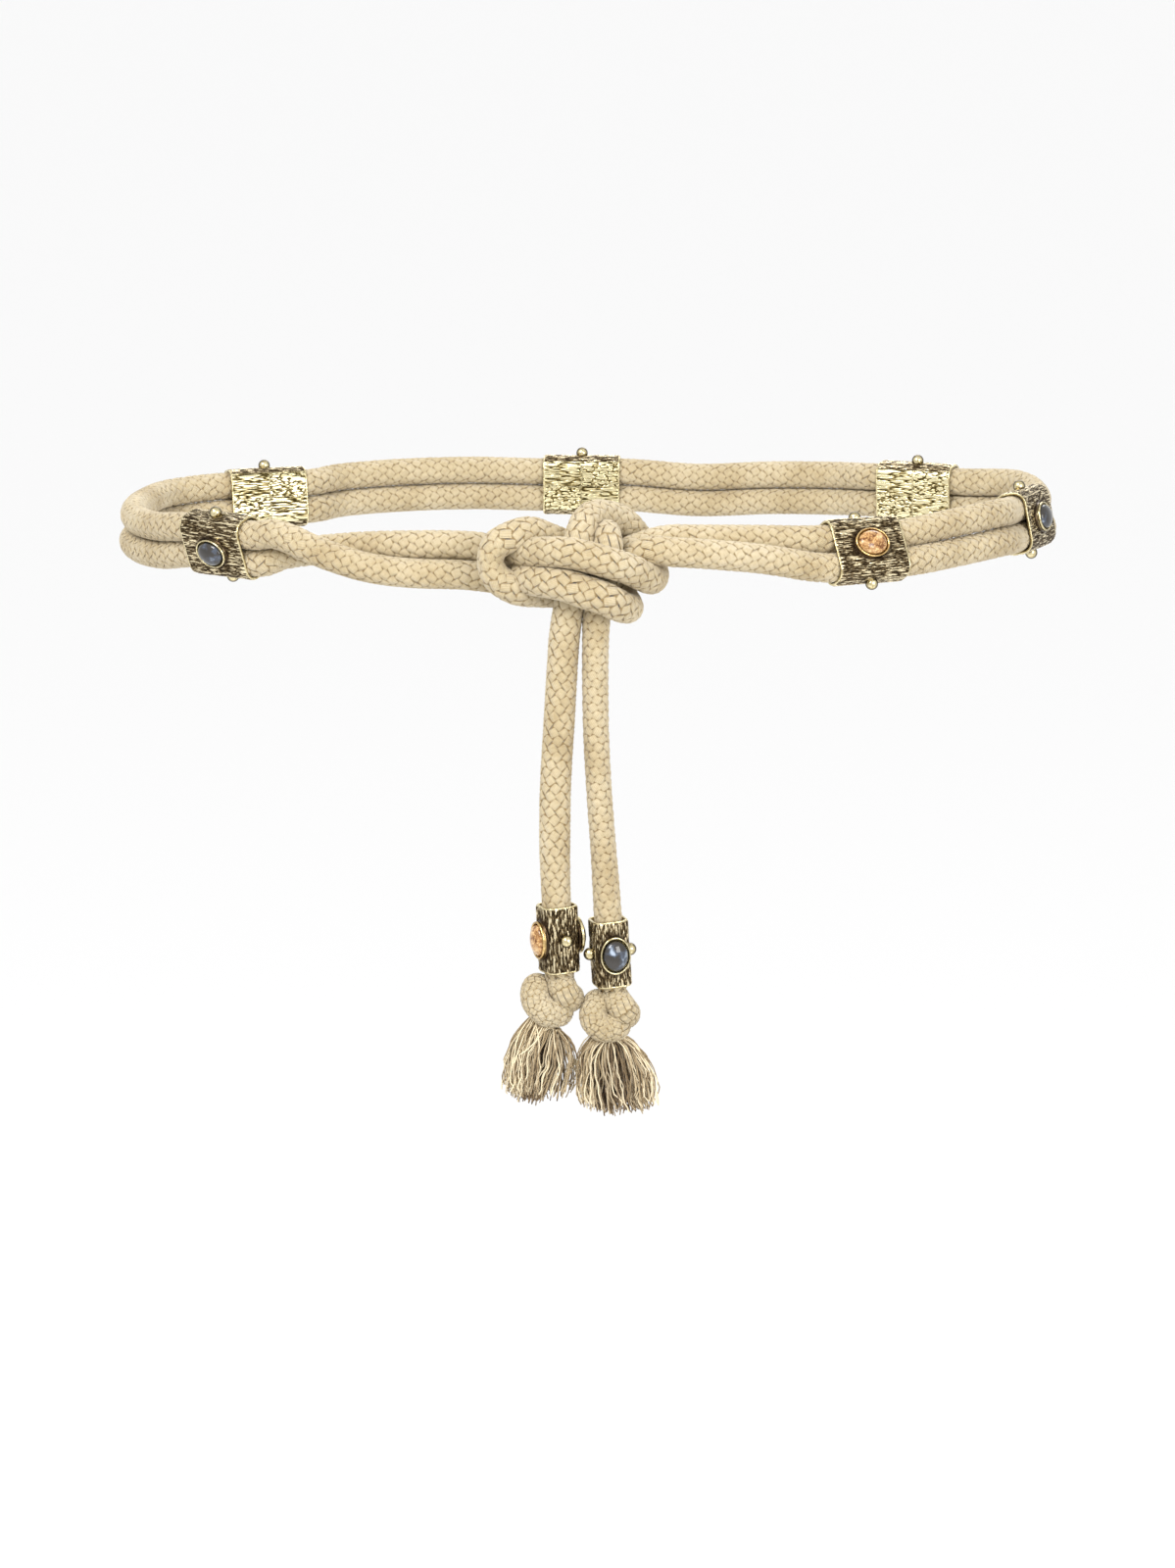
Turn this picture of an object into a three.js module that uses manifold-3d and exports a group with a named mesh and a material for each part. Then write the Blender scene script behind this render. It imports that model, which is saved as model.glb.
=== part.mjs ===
// Rope belt: one braided cotton rope, doubled round the waist through six cast
// slides and tied at the front in a bight knot. Its two tails hang down, each
// through a cast sleeve to a stopper knot and a frayed tassel.
// X to the wearer's left as seen from the front, Y to the back, Z up, origin at
// the middle of the waist. All lengths in millimetres, angles in degrees.
import * as THREE from "three";
import { mergeVertices } from "three/addons/utils/BufferGeometryUtils.js";
import Module from "manifold-3d";

const wasm = await Module();
wasm.setup();

// Rope
const ROPE_DIAMETER = 9.2;
const ROPE_GAP = 0.5; // between two courses that lie side by side
const ROPE_SIDES = 8;
const RUN_GAP = 0.3; // between two runs of the rope, and between a run and its knot

// Ring round the waist, measured to the middle of the rope pair
const RING_HALF_WIDTH = 153;
const RING_HALF_DEPTH = 101;
const RING_STEPS = 50;

// Cast slides and sleeves
const SLIDE_LENGTH = 26;
const BACK_SLIDE_LENGTH = 28;
const SLIDE_REACH = 0.62; // share of its length that the ropes run straight each way from a slide's middle
const TAIL_SLEEVE_LENGTH = 22;
const SLEEVE_CLEARANCE = 0.4; // rope to bore
const SLEEVE_WALL = 0.6;
const SLIDE_CORNER = 3.6; // bore's corner radius
const TAIL_SLEEVE_CORNER = 2.4;
const BARK_RELIEF = 0.35; // how far the cast ridges stand up from the wall
const BARK_RIDGE_PITCH = 2.7;
const TAIL_BARK_RIDGE_PITCH = 2.5;
const BARK_STEPS = 3; // stretches along a sleeve that each ridge changes over
const BEZEL_LENGTH = 12.5; // along the rope
const BEZEL_WIDTH = 10.2;
const BEZEL_HEIGHT = 2; // above the wall
const BEZEL_WALL = 0.7;
const STONE_GAP = 0.3;
const STONE_HEIGHT = 3.8; // above the wall
const BALL_DIAMETER = 4.2;
const BALL_SEAT = 0.28; // share of its diameter that a ball's middle stands off the wall

// Tassels
const TASSEL_HEAD_DIAMETER = 9;
const TASSEL_HEAD_LENGTH = 3;
const TASSEL_LENGTH = 26;
const LOCK_ROOT_DIAMETER = 3.4;
const LOCK_TIP_DIAMETER = 6.4;

const PITCH = ROPE_DIAMETER + ROPE_GAP;
const KNOT_UNIT = PITCH / 9.7; // a millimetre of the knot as laid out
const rad = THREE.MathUtils.degToRad;

// The pair's course round the waist, from the knot's right side by the back to
// its left side: where on the ring, how high above it and how far outside it the
// pair's middle lies (in rope pitches), how far the upper course is rolled
// outwards, and which slide sits there and how far it is turned from the ring's
// own way. On the left front the pair makes half a turn about itself.
const COURSE = [
  { at: -76, rise: 0.56, roll: -70 },
  { at: -68, rise: 0.4, roll: -58 },
  { at: -53, rise: 0.17, roll: -30, slide: "front_right" },
  { at: -38, rise: 0.27, roll: -15 },
  { at: -24, rise: 0.36, roll: -13 },
  { at: -3, rise: 0.16, roll: -12, slide: "side_right", turn: -19 },
  { at: 20, rise: 0.32, out: 1.2, roll: -6 },
  { at: 38, rise: 0.2, roll: -4, slide: "back_right", turn: 15 },
  { at: 53, rise: 0.1, roll: 0 },
  { at: 63, rise: 0.0, roll: 0 },
  { at: 74, rise: -0.18, roll: 0 },
  { at: 90, rise: -0.03, roll: 2, slide: "back_middle", turn: -3 },
  { at: 105, rise: 0.08, roll: 0 },
  { at: 116, rise: 0.08, roll: 1 },
  { at: 125, rise: 0.0, roll: 3 },
  { at: 138, rise: -0.08, roll: 9, slide: "back_left", turn: -16 },
  { at: 154, rise: -0.15, out: 1.05, roll: 3 },
  { at: 165, rise: -0.15, out: 0.5, roll: 0 },
  { at: 180, rise: -0.15, out: 0.12, roll: -4 },
  { at: 191, rise: -0.2, roll: 3 },
  { at: 203, rise: -0.1, roll: 9 },
  { at: 219.5, rise: 0.12, roll: 20, slide: "front_left" },
  { at: 229.5, rise: 0.31, roll: 37 },
  { at: 233, rise: 0.33, roll: 60 },
  { at: 236, rise: 0.26, roll: 82 },
  { at: 240, rise: 0.17, roll: 107 },
  { at: 244, rise: 0.1, roll: 130 },
  { at: 249, rise: 0.08, roll: 150 },
  { at: 256, rise: 0.09, roll: 157 },
];

// The knot's strands as points right, forward and up from the front of the
// ring, in knot units.
// From the upper left course: out through the bight, over the front, round the
// right, up behind, and over the top as the outer loop to the left tail.
const UPPER_STRAND = [
  [-25, -1.5, 4.4],
  [-20, 6, 5],
  [-13, 13.5, 6],
  [-4.5, 18.5, 6.5],
  [3, 19, 5],
  [9.5, 18, 3],
  [15.5, 14.5, 0.5],
  [20.5, 7.5, -3],
  [23, -2.5, -5],
  [23.5, -12, -4],
  [21.5, -18, 0],
  [18, -18.5, 6.5],
  [14, -15, 11.5],
  [9, -10, 14.5],
  [3.5, -2.5, 15.5],
  [0.5, 5, 13],
  [-1, 8.5, 8],
  [-2, 9, -1.5],
  [-4, 9.5, -12],
];
// From the lower left course: the same way below it, and over the top inside
// the outer loop to the right tail.
const LOWER_STRAND = [
  [-25, -1.5, -5],
  [-20, 6.2, -3.6],
  [-13, 14, -3.2],
  [-4.5, 18.5, -4],
  [1, 19, -6],
  [7, 18.5, -8],
  [11, 15.5, -10.5],
  [14.5, 7.5, -13],
  [15, -2.5, -13.5],
  [12.5, -11, -10],
  [10.5, -14, -4],
  [8.5, -11.5, 3.5],
  [8, -4.5, 8.5],
  [8, 2.5, 10],
  [8.5, 8.5, 8],
  [8.5, 9, 3],
  [7, 9, -6.5],
  [5, 9.5, -15],
];
// The bight of the right pair, from its upper course round the left to its
// lower one.
const BIGHT = [
  [29, -8, 7],
  [23.5, -8, 6],
  [18.5, -7, 4.5],
  [13.5, -4, 3],
  [8, -1, 1.5],
  [2, -0.5, 3],
  [-4, 0, 6],
  [-10.5, 2, 9],
  [-16.5, 6.5, 11.5],
  [-22.5, 10.5, 10.5],
  [-27.5, 11, 7.5],
  [-29, 11, 3],
  [-27.3, 11, -2.2],
  [-21.5, 9, -6.5],
  [-15, 3.5, -8.5],
  [-8.5, 0, -9],
  [-1, -0.5, -7],
  [6, -0.5, -4],
  [12, 1.5, -0.5],
  [18, 3.5, 3.5],
  [23, 4, 5],
  [28.5, 3, 4.5],
];

// The tails below the knot, in millimetres from the front of the ring.
const LEFT_TAIL = [
  [-5.4, 9.5, -22],
  [-6.1, 9.5, -32],
  [-7.2, 9.5, -51],
  [-8.3, 9.5, -70],
  [-8.6, 9.5, -90],
  [-8.3, 9.5, -104],
  [-7.6, 9.5, -121],
  [-7.1, 9.5, -133.3],
];
const RIGHT_TAIL = [
  [4.6, 9.7, -23.5],
  [4.5, 9.5, -32],
  [4.7, 9.5, -51],
  [5.6, 9.5, -70],
  [7, 9.5, -89.5],
  [8, 9.5, -104],
  [9.3, 9.5, -125.7],
  [10.2, 9.5, -138.2],
];

// The stopper knots: each is a tight overhand knot, whose strand is given from
// its middle, right, forward and up, in knot units.
const LEFT_STOPPER = {
  middle: [-9.3, 9.5, -141.4],
  strand: [
    [2.2, 0, 7.4],
    [2.2, 0, 6.2],
    [4.2, 2.8, 2.3],
    [5.5, 0.6, 0.4],
    [2.5, -4.2, 0],
    [-2.5, -4.2, 1.6],
    [-5.4, 0, 3.4],
    [-5.4, 4, 0],
    [-2.2, 4.6, -3.4],
    [2, 1.6, -4.2],
    [0.5, -3, -3.8],
    [-1.6, -0.8, -5.6],
    [-2, 0, -7.6],
    [-2, 0, -9.2],
  ],
  tassel: { lean: -3, spreadRight: 12.3, spreadBack: 9.5, neck: [-2, 0, -9.2] },
};
const RIGHT_STOPPER = {
  middle: [9.1, 9.5, -145.9],
  strand: [
    [1.1, 0, 6.9],
    [1.1, 0, 5.8],
    [4.4, 3, 1.7],
    [5.4, 1, -0.5],
    [2, -3.8, -0.9],
    [-2.2, -4.2, 1.2],
    [-4, -0.2, 2.5],
    [-5, 3.6, -1.1],
    [-2.6, 4.4, -3.9],
    [2, 2.4, -4.4],
    [2, -2.4, -4.1],
    [0.2, -0.8, -5.6],
    [-0.2, 0, -7.2],
    [-0.2, 0, -8.7],
  ],
  tassel: { lean: 2.3, spreadRight: 13.7, spreadBack: 9.5, neck: [-0.2, 0, -8.7] },
};

const cotton = new THREE.MeshStandardMaterial({ color: 0xdcc79b, roughness: 0.95 });
const yarn = new THREE.MeshStandardMaterial({ color: 0xd2bb8a, roughness: 0.95 });
const brass = new THREE.MeshStandardMaterial({ color: 0x8c7843, roughness: 0.35, metalness: 1 });
const orangeStone = new THREE.MeshStandardMaterial({ color: 0xe0a070, roughness: 0.1 });
const blueStone = new THREE.MeshStandardMaterial({ color: 0x4a5870, roughness: 0.05 });

// A closed geometry as a solid that can be joined and cut.
function solid(geometry) {
  const bare = geometry.clone();
  bare.deleteAttribute("normal");
  bare.deleteAttribute("uv");
  const merged = mergeVertices(bare, 1e-4);
  return new wasm.Manifold(
    new wasm.Mesh({
      numProp: 3,
      vertProperties: new Float32Array(merged.attributes.position.array),
      triVerts: new Uint32Array(merged.index.array),
    }),
  );
}

function geometryOf(body) {
  const { vertProperties, triVerts, numProp } = body.getMesh();
  const geometry = new THREE.BufferGeometry();
  const data = new THREE.InterleavedBuffer(vertProperties, numProp);
  geometry.setAttribute("position", new THREE.InterleavedBufferAttribute(data, 3, 0));
  geometry.setIndex(new THREE.BufferAttribute(triVerts, 1));
  const flat = geometry.toNonIndexed();
  flat.computeVertexNormals();
  return flat;
}

const joined = (bodies) => bodies.reduce((all, body) => all.add(body));
// A solid without its sealed hollows, as soft rope has where it is pulled tight.
const filled = (body) => joined(body.decompose().filter((shell) => shell.volume() > 0));

function mesh(name, geometry, material) {
  const made = new THREE.Mesh(geometry, material);
  made.name = name;
  return made;
}

// The ring: its middle line, and the frame that a slide sits in there, with X
// along the rope, Y to the waist and Z from the lower course to the upper one.
function ringFrame({ at, rise, roll, out = 0, turn = 0 }) {
  const a = rad(at);
  const middle = new THREE.Vector3(
    RING_HALF_WIDTH * Math.cos(a),
    RING_HALF_DEPTH * Math.sin(a),
    rise * PITCH,
  );
  const along = new THREE.Vector3(-RING_HALF_WIDTH * Math.sin(a), RING_HALF_DEPTH * Math.cos(a), 0);
  const up = new THREE.Vector3(0, 0, 1);
  along.normalize();
  middle.addScaledVector(new THREE.Vector3().crossVectors(along, up), out * PITCH);
  along.applyAxisAngle(up, rad(turn));
  const outward = new THREE.Vector3().crossVectors(along, up);
  const across = up.multiplyScalar(Math.cos(rad(roll))).addScaledVector(outward, Math.sin(rad(roll)));
  const inward = new THREE.Vector3().crossVectors(across, along);
  return { middle, along, across, inward };
}

// One course of the pair, side 1 or -1 of its middle. It runs straight through
// a slide, whose middle moves in a little so that both its mouths meet the ring.
const slideLength = (slide) => (slide.startsWith("back") ? BACK_SLIDE_LENGTH : SLIDE_LENGTH);

function slideInset({ at, slide }) {
  const a = rad(at);
  const reach = Math.hypot(RING_HALF_WIDTH * Math.sin(a), RING_HALF_DEPTH * Math.cos(a));
  const bend = reach ** 3 / (RING_HALF_WIDTH * RING_HALF_DEPTH);
  return slideLength(slide) ** 2 / (16 * bend);
}

function courseFrame(row) {
  const frame = ringFrame(row);
  if (row.slide) frame.middle.addScaledVector(frame.inward, slideInset(row));
  return frame;
}

function coursePoints(side) {
  const points = [];
  for (const row of COURSE) {
    const { middle, along, across } = courseFrame(row);
    const reach = row.slide ? SLIDE_REACH * slideLength(row.slide) : 0;
    const reaches = row.slide ? [-reach, 0, reach] : [0];
    for (const way of reaches)
      points.push(
        middle.clone().addScaledVector(along, way).addScaledVector(across, (side * PITCH) / 2),
      );
  }
  return points;
}

const fromFront = ([right, forward, up], unit) =>
  new THREE.Vector3(right * unit, -RING_HALF_DEPTH - forward * unit, up * unit);
const knotPoints = (rows) => rows.map((row) => fromFront(row, KNOT_UNIT));
const tailPoints = (rows) => rows.map((row) => fromFront(row, 1));

// The whole rope is one line, from the left tail's end to the right tail's.
const stretches = [
  ["tail_rope_left", tailPoints(LEFT_TAIL).reverse()],
  ["upper_strand", knotPoints(UPPER_STRAND).reverse()],
  ["waist_rope_lower", coursePoints(-1).reverse()],
  ["bight", knotPoints(BIGHT).reverse()],
  ["waist_rope_upper", coursePoints(1)],
  ["lower_strand", knotPoints(LOWER_STRAND)],
  ["tail_rope_right", tailPoints(RIGHT_TAIL)],
];
const firstPoint = {};
const ropePoints = [];
for (const [name, points] of stretches) {
  firstPoint[name] = ropePoints.length;
  ropePoints.push(...points);
}
const rope = new THREE.CatmullRomCurve3(ropePoints, false, "centripetal");
const lastPoint = ropePoints.length - 1;

// A run of the rope between two of its points, drawn back by a length at each end.
class RopeRun extends THREE.Curve {
  constructor(curve, from, to, backFrom = 0, backTo = 0) {
    super();
    this.curve = curve;
    this.from = from + backFrom / this.speed(curve, from);
    this.to = to - backTo / this.speed(curve, to);
  }
  speed(curve, at) {
    const step = 0.01 / lastPoint;
    const low = Math.max(at - step, 0);
    const high = Math.min(at + step, 1);
    return curve.getPoint(low).distanceTo(curve.getPoint(high)) / (high - low);
  }
  getPoint(t, target = new THREE.Vector3()) {
    return this.curve.getPoint(this.from + (this.to - this.from) * t, target);
  }
}

function tube(path, steps, diameter = ROPE_DIAMETER, sides = ROPE_SIDES) {
  const section = new THREE.Shape();
  for (let i = 0; i < sides; i++) {
    const a = (2 * Math.PI * i) / sides;
    const x = (Math.cos(a) * diameter) / 2;
    const y = (Math.sin(a) * diameter) / 2;
    if (i) section.lineTo(x, y);
    else section.moveTo(x, y);
  }
  return new THREE.ExtrudeGeometry(section, {
    steps,
    bevelEnabled: false,
    curveSegments: 1,
    extrudePath: path,
  });
}

// Where each run starts on the whole rope, halfway between two stretches.
const startOf = (name) => (firstPoint[name] - (firstPoint[name] ? 0.5 : 0)) / lastPoint;
const half = RUN_GAP / 2;

function ropeRun(name, next, steps, isFirst, isLast) {
  const end = next ? startOf(next) : 1;
  return tube(new RopeRun(rope, startOf(name), end, isFirst ? 0 : half, isLast ? 0 : half), steps);
}

const belt = new THREE.Group();

belt.add(
  mesh("waist_rope_lower", ropeRun("waist_rope_lower", "bight", RING_STEPS), cotton),
  mesh("waist_rope_upper", ropeRun("waist_rope_upper", "lower_strand", RING_STEPS), cotton),
  mesh("tail_rope_left", ropeRun("tail_rope_left", "upper_strand", 14, true), cotton),
  mesh("tail_rope_right", ropeRun("tail_rope_right", null, 14, false, true), cotton),
);

// The knot: each strand in two arcs that lap, so that no arc meets itself.
const LAP = 0.3 / lastPoint;
function knotArcs(name, next, turn, steps) {
  const from = startOf(name);
  const to = startOf(next);
  const bend = (firstPoint[name] + turn) / lastPoint;
  return [
    solid(tube(new RopeRun(rope, from, bend + LAP, half, 0), steps[0])),
    solid(tube(new RopeRun(rope, bend - LAP, to, 0, half), steps[1])),
  ];
}
belt.add(
  mesh(
    "front_knot",
    geometryOf(
      filled(joined([
        ...knotArcs("upper_strand", "waist_rope_lower", 9, [10, 9]),
        ...knotArcs("bight", "waist_rope_upper", 10, [8, 8]),
        ...knotArcs("lower_strand", "tail_rope_right", 8, [8, 10]),
      ])),
    ),
    cotton,
  ),
);

// A cast sleeve round one or two ropes: its bore, and its wall with low bark
// ridges that run along the rope and break off here and there. X is along the
// rope, Z is its height and Y its depth.
function roundedOutline(depth, height, corner, count) {
  const shape = new THREE.Shape();
  const y = depth / 2;
  const z = height / 2;
  shape.moveTo(-y + corner, -z);
  shape.lineTo(y - corner, -z);
  shape.absarc(y - corner, -z + corner, corner, -Math.PI / 2, 0);
  shape.lineTo(y, z - corner);
  shape.absarc(y - corner, z - corner, corner, 0, Math.PI / 2);
  shape.lineTo(-y + corner, z);
  shape.absarc(-y + corner, z - corner, corner, Math.PI / 2, Math.PI);
  shape.lineTo(-y, -z + corner);
  shape.absarc(-y + corner, -z + corner, corner, Math.PI, 1.5 * Math.PI);
  return shape.getSpacedPoints(count).slice(0, count);
}

function prism(points, length, steps) {
  const geometry = new THREE.ExtrudeGeometry(new THREE.Shape(points), {
    depth: length,
    steps,
    bevelEnabled: false,
    curveSegments: 1,
  });
  geometry.translate(0, 0, -length / 2);
  // The outline's first axis becomes Y, its second Z, and the extrusion X.
  geometry.applyMatrix4(
    new THREE.Matrix4().makeBasis(
      new THREE.Vector3(0, 1, 0),
      new THREE.Vector3(0, 0, 1),
      new THREE.Vector3(1, 0, 0),
    ),
  );
  return geometry;
}

function barkSleeve(length, boreDepth, boreHeight, corner, ridgePitch) {
  const wall = 2 * SLEEVE_WALL;
  const perimeter = 2 * (boreDepth + boreHeight);
  const ridges = 2 * Math.round(perimeter / ridgePitch / 2);
  const outer = roundedOutline(
    boreDepth + wall,
    boreHeight + wall,
    corner + SLEEVE_WALL,
    ridges,
  );
  const body = prism(outer, length, BARK_STEPS);
  const place = body.attributes.position;
  for (let i = 0; i < place.count; i++) {
    const [x, y, z] = [place.getX(i), place.getY(i), place.getZ(i)];
    const ridge = outer.findIndex((p) => Math.hypot(p.x - y, p.y - z) < 1e-3);
    const along = Math.round((BARK_STEPS * x) / length);
    const swell = 0.5 + 0.5 * Math.sin(2.6 * ridge + 1.3 * Math.sin(1.9 * ridge + 2.2 * along));
    const out = (BARK_RELIEF * swell) / Math.hypot(y, z);
    place.setXYZ(i, x, y * (1 + out), z * (1 + out));
  }
  const bore = prism(roundedOutline(boreDepth, boreHeight, corner, 20), 2 * length, 1);
  return solid(body).subtract(solid(bore));
}

// An oval cup for a stone, standing on a wall at a distance from the sleeve's
// middle, and the domed stone in it. The cup's long side lies along X.
function onWall(geometry, distance, turn) {
  geometry.scale(BEZEL_LENGTH / BEZEL_WIDTH, 1, 1);
  geometry.translate(0, distance, 0);
  geometry.rotateX(rad(turn));
  return geometry;
}

function bezel(distance, turn) {
  const out = BEZEL_WIDTH / 2;
  const seat = BARK_RELIEF + 0.2;
  const profile = [
    [0, -SLEEVE_WALL / 2],
    [out, -SLEEVE_WALL / 2],
    [out, BEZEL_HEIGHT],
    [out - BEZEL_WALL, BEZEL_HEIGHT],
    [out - BEZEL_WALL, seat],
    [0, seat],
  ].map(([x, y]) => new THREE.Vector2(x, y));
  return solid(onWall(new THREE.LatheGeometry(profile, 12), distance, turn));
}

function stone(distance, turn) {
  const girdle = BEZEL_WIDTH / 2 - BEZEL_WALL - STONE_GAP;
  const seat = BARK_RELIEF + 0.2 + STONE_GAP;
  const rim = BEZEL_HEIGHT - 0.4;
  const profile = [new THREE.Vector2(0, seat), new THREE.Vector2(girdle, seat)];
  for (let i = 0; i <= 3; i++) {
    const a = (Math.PI / 2) * (i / 3);
    profile.push(
      new THREE.Vector2(i < 3 ? girdle * Math.cos(a) : 0, rim + (STONE_HEIGHT - rim) * Math.sin(a)),
    );
  }
  return onWall(new THREE.LatheGeometry(profile, 12), distance, turn);
}

// A ball soldered to a wall, its middle a little clear of it.
function ball(distance, turn) {
  const geometry = new THREE.SphereGeometry(BALL_DIAMETER / 2, 8, 5);
  geometry.translate(0, distance + BALL_SEAT * BALL_DIAMETER, 0);
  geometry.rotateX(rad(turn));
  return solid(geometry);
}

// The slides on the ring: two ropes through each, a stone on its outer face and
// a ball on its upper and lower ones.
const BORE_DEPTH = ROPE_DIAMETER + 2 * SLEEVE_CLEARANCE;
const PAIR_BORE_HEIGHT = PITCH + BORE_DEPTH;
const SLIDE_STONES = {
  front_right: orangeStone,
  side_right: blueStone,
  back_right: orangeStone,
  back_middle: blueStone,
  back_left: orangeStone,
  front_left: blueStone,
};
const faceAt = (bore) => bore / 2 + SLEEVE_WALL;

for (const row of COURSE.filter(({ slide }) => slide)) {
  const { middle, along, across, inward } = courseFrame(row);
  const place = new THREE.Group();
  place.position.copy(middle);
  place.quaternion.setFromRotationMatrix(new THREE.Matrix4().makeBasis(along, inward, across));
  const body = joined([
    barkSleeve(slideLength(row.slide), BORE_DEPTH, PAIR_BORE_HEIGHT, SLIDE_CORNER, BARK_RIDGE_PITCH),
    bezel(faceAt(BORE_DEPTH), 180),
    ball(faceAt(PAIR_BORE_HEIGHT), 90),
    ball(faceAt(PAIR_BORE_HEIGHT), -90),
  ]);
  place.add(
    mesh("slide_" + row.slide, geometryOf(body), brass),
    mesh("stone_" + row.slide, stone(faceAt(BORE_DEPTH), 180), SLIDE_STONES[row.slide]),
  );
  belt.add(place);
}

// The sleeves on the tails: square, one rope through each, a stone on two
// opposite faces and a ball on the other two.
const TAIL_SLEEVES = [
  { side: "left", rope: tailPoints(LEFT_TAIL), turn: -65, stones: [orangeStone, blueStone] },
  { side: "right", rope: tailPoints(RIGHT_TAIL), turn: 15, stones: [blueStone, orangeStone] },
];
for (const { side, rope: points, turn, stones } of TAIL_SLEEVES) {
  const place = new THREE.Group();
  const [above, middle, below] = points.slice(-3);
  const down = new THREE.Vector3().subVectors(below, above).normalize();
  place.position.copy(middle);
  // X down along the rope, and Y to the face that the first stone is on.
  const face = new THREE.Vector3(Math.sin(rad(turn)), -Math.cos(rad(turn)), 0);
  face.addScaledVector(down, -face.dot(down)).normalize();
  const across = new THREE.Vector3().crossVectors(down, face);
  place.quaternion.setFromRotationMatrix(new THREE.Matrix4().makeBasis(down, face, across));
  const wallAt = faceAt(BORE_DEPTH);
  const body = joined([
    barkSleeve(TAIL_SLEEVE_LENGTH, BORE_DEPTH, BORE_DEPTH, TAIL_SLEEVE_CORNER, TAIL_BARK_RIDGE_PITCH),
    bezel(wallAt, 0),
    bezel(wallAt, 180),
    ball(wallAt, 90),
    ball(wallAt, -90),
  ]);
  place.add(
    mesh("tail_sleeve_" + side, geometryOf(body), brass),
    mesh("tail_stone_" + side + "_front", stone(wallAt, 0), stones[0]),
    mesh("tail_stone_" + side + "_back", stone(wallAt, 180), stones[1]),
  );
  belt.add(place);
}

// A stopper knot at each tail's end, its strand in three arcs that lap.
function stopperKnot({ middle, strand }) {
  const points = strand.map(([right, forward, up]) =>
    new THREE.Vector3(right, -forward, up).multiplyScalar(KNOT_UNIT),
  );
  const curve = new THREE.CatmullRomCurve3(points, false, "centripetal");
  const last = points.length - 1;
  const arcs = [
    [0, 4.2],
    [3.8, 8.2],
    [7.8, last],
  ];
  const bodies = arcs.map(([from, to]) =>
    solid(tube(new RopeRun(curve, from / last, to / last), 5)),
  );
  const made = mesh("end_knot", geometryOf(filled(joined(bodies))), cotton);
  made.position.copy(fromFront(middle, 1));
  return made;
}

// A tassel below it: the rope's own yarns, unlaid, as locks that spread from a
// short neck, the outer ones a little shorter.
const LOCKS = 11;
function tasselOf({ middle, tassel: { lean, spreadRight, spreadBack, neck } }) {
  const head = new THREE.CylinderGeometry(
    TASSEL_HEAD_DIAMETER / 2,
    TASSEL_HEAD_DIAMETER / 2,
    TASSEL_HEAD_LENGTH,
    10,
  );
  head.rotateX(Math.PI / 2);
  head.translate(0, 0, -RUN_GAP - TASSEL_HEAD_LENGTH / 2);
  const bodies = [solid(head)];
  const root = (TASSEL_HEAD_DIAMETER - LOCK_ROOT_DIAMETER) / 2;
  const tip = LOCK_TIP_DIAMETER / 2;
  for (let i = 0; i < LOCKS; i++) {
    const share = i > 2 ? 0.85 + 0.15 * ((i * 0.618) % 1) : 0.35;
    const a = i > 2 ? (2 * Math.PI * i) / (LOCKS - 3) : (2 * Math.PI * i) / 3;
    const start = new THREE.Vector3(
      root * share * Math.cos(a),
      root * share * Math.sin(a),
      -RUN_GAP - 0.4 * TASSEL_HEAD_LENGTH,
    );
    const end = new THREE.Vector3(
      lean + (spreadRight - tip) * share * Math.cos(a),
      (spreadBack - tip) * share * Math.sin(a),
      -TASSEL_LENGTH * (1 - 0.12 * share * share),
    );
    const way = new THREE.Vector3().subVectors(end, start);
    const lock = new THREE.CylinderGeometry(LOCK_ROOT_DIAMETER / 2, tip, way.length(), 6);
    lock.applyQuaternion(
      new THREE.Quaternion().setFromUnitVectors(
        new THREE.Vector3(0, -1, 0),
        way.clone().normalize(),
      ),
    );
    lock.translate(...start.add(end).multiplyScalar(0.5).toArray());
    bodies.push(solid(lock));
  }
  const made = mesh("tassel", geometryOf(joined(bodies)), yarn);
  made.position.copy(fromFront(middle, 1)).add(new THREE.Vector3(...neck).multiplyScalar(KNOT_UNIT));
  return made;
}

for (const [side, stopper] of [
  ["left", LEFT_STOPPER],
  ["right", RIGHT_STOPPER],
]) {
  const knot = stopperKnot(stopper);
  knot.name = "end_knot_" + side;
  const tassel = tasselOf(stopper);
  tassel.name = "tassel_" + side;
  belt.add(knot, tassel);
}

export default belt;
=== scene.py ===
# Rope belt: one braided cotton rope, doubled round the waist through six cast
# slides, tied in front, and ending in two sleeved, knotted and frayed tails.
import math

import bpy
import numpy as np
from mathutils import Matrix, Vector


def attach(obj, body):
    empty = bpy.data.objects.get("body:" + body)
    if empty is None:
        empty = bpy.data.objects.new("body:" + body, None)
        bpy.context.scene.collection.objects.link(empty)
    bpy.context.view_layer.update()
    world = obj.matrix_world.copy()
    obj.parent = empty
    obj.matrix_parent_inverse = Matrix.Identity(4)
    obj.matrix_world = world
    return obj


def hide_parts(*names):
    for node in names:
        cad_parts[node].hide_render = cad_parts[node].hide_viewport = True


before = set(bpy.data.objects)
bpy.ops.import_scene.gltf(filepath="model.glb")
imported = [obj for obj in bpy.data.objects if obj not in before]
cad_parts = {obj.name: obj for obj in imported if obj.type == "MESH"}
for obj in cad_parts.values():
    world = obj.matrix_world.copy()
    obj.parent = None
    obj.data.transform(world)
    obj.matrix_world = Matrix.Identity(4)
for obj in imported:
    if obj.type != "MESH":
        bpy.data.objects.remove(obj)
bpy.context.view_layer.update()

# The camera stands 1.5 m in front of the belt and a little above it, as the
# picture was taken, and looks down into the loop.
CAMERA_PLACE = (0.002, -1.5, 0.207)
CAMERA_DOWN = math.radians(11.28)
CAMERA_LENS = 100.76


def new_object(name, data):
    made = bpy.data.objects.new(name, data)
    bpy.context.collection.objects.link(made)
    return made


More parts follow.
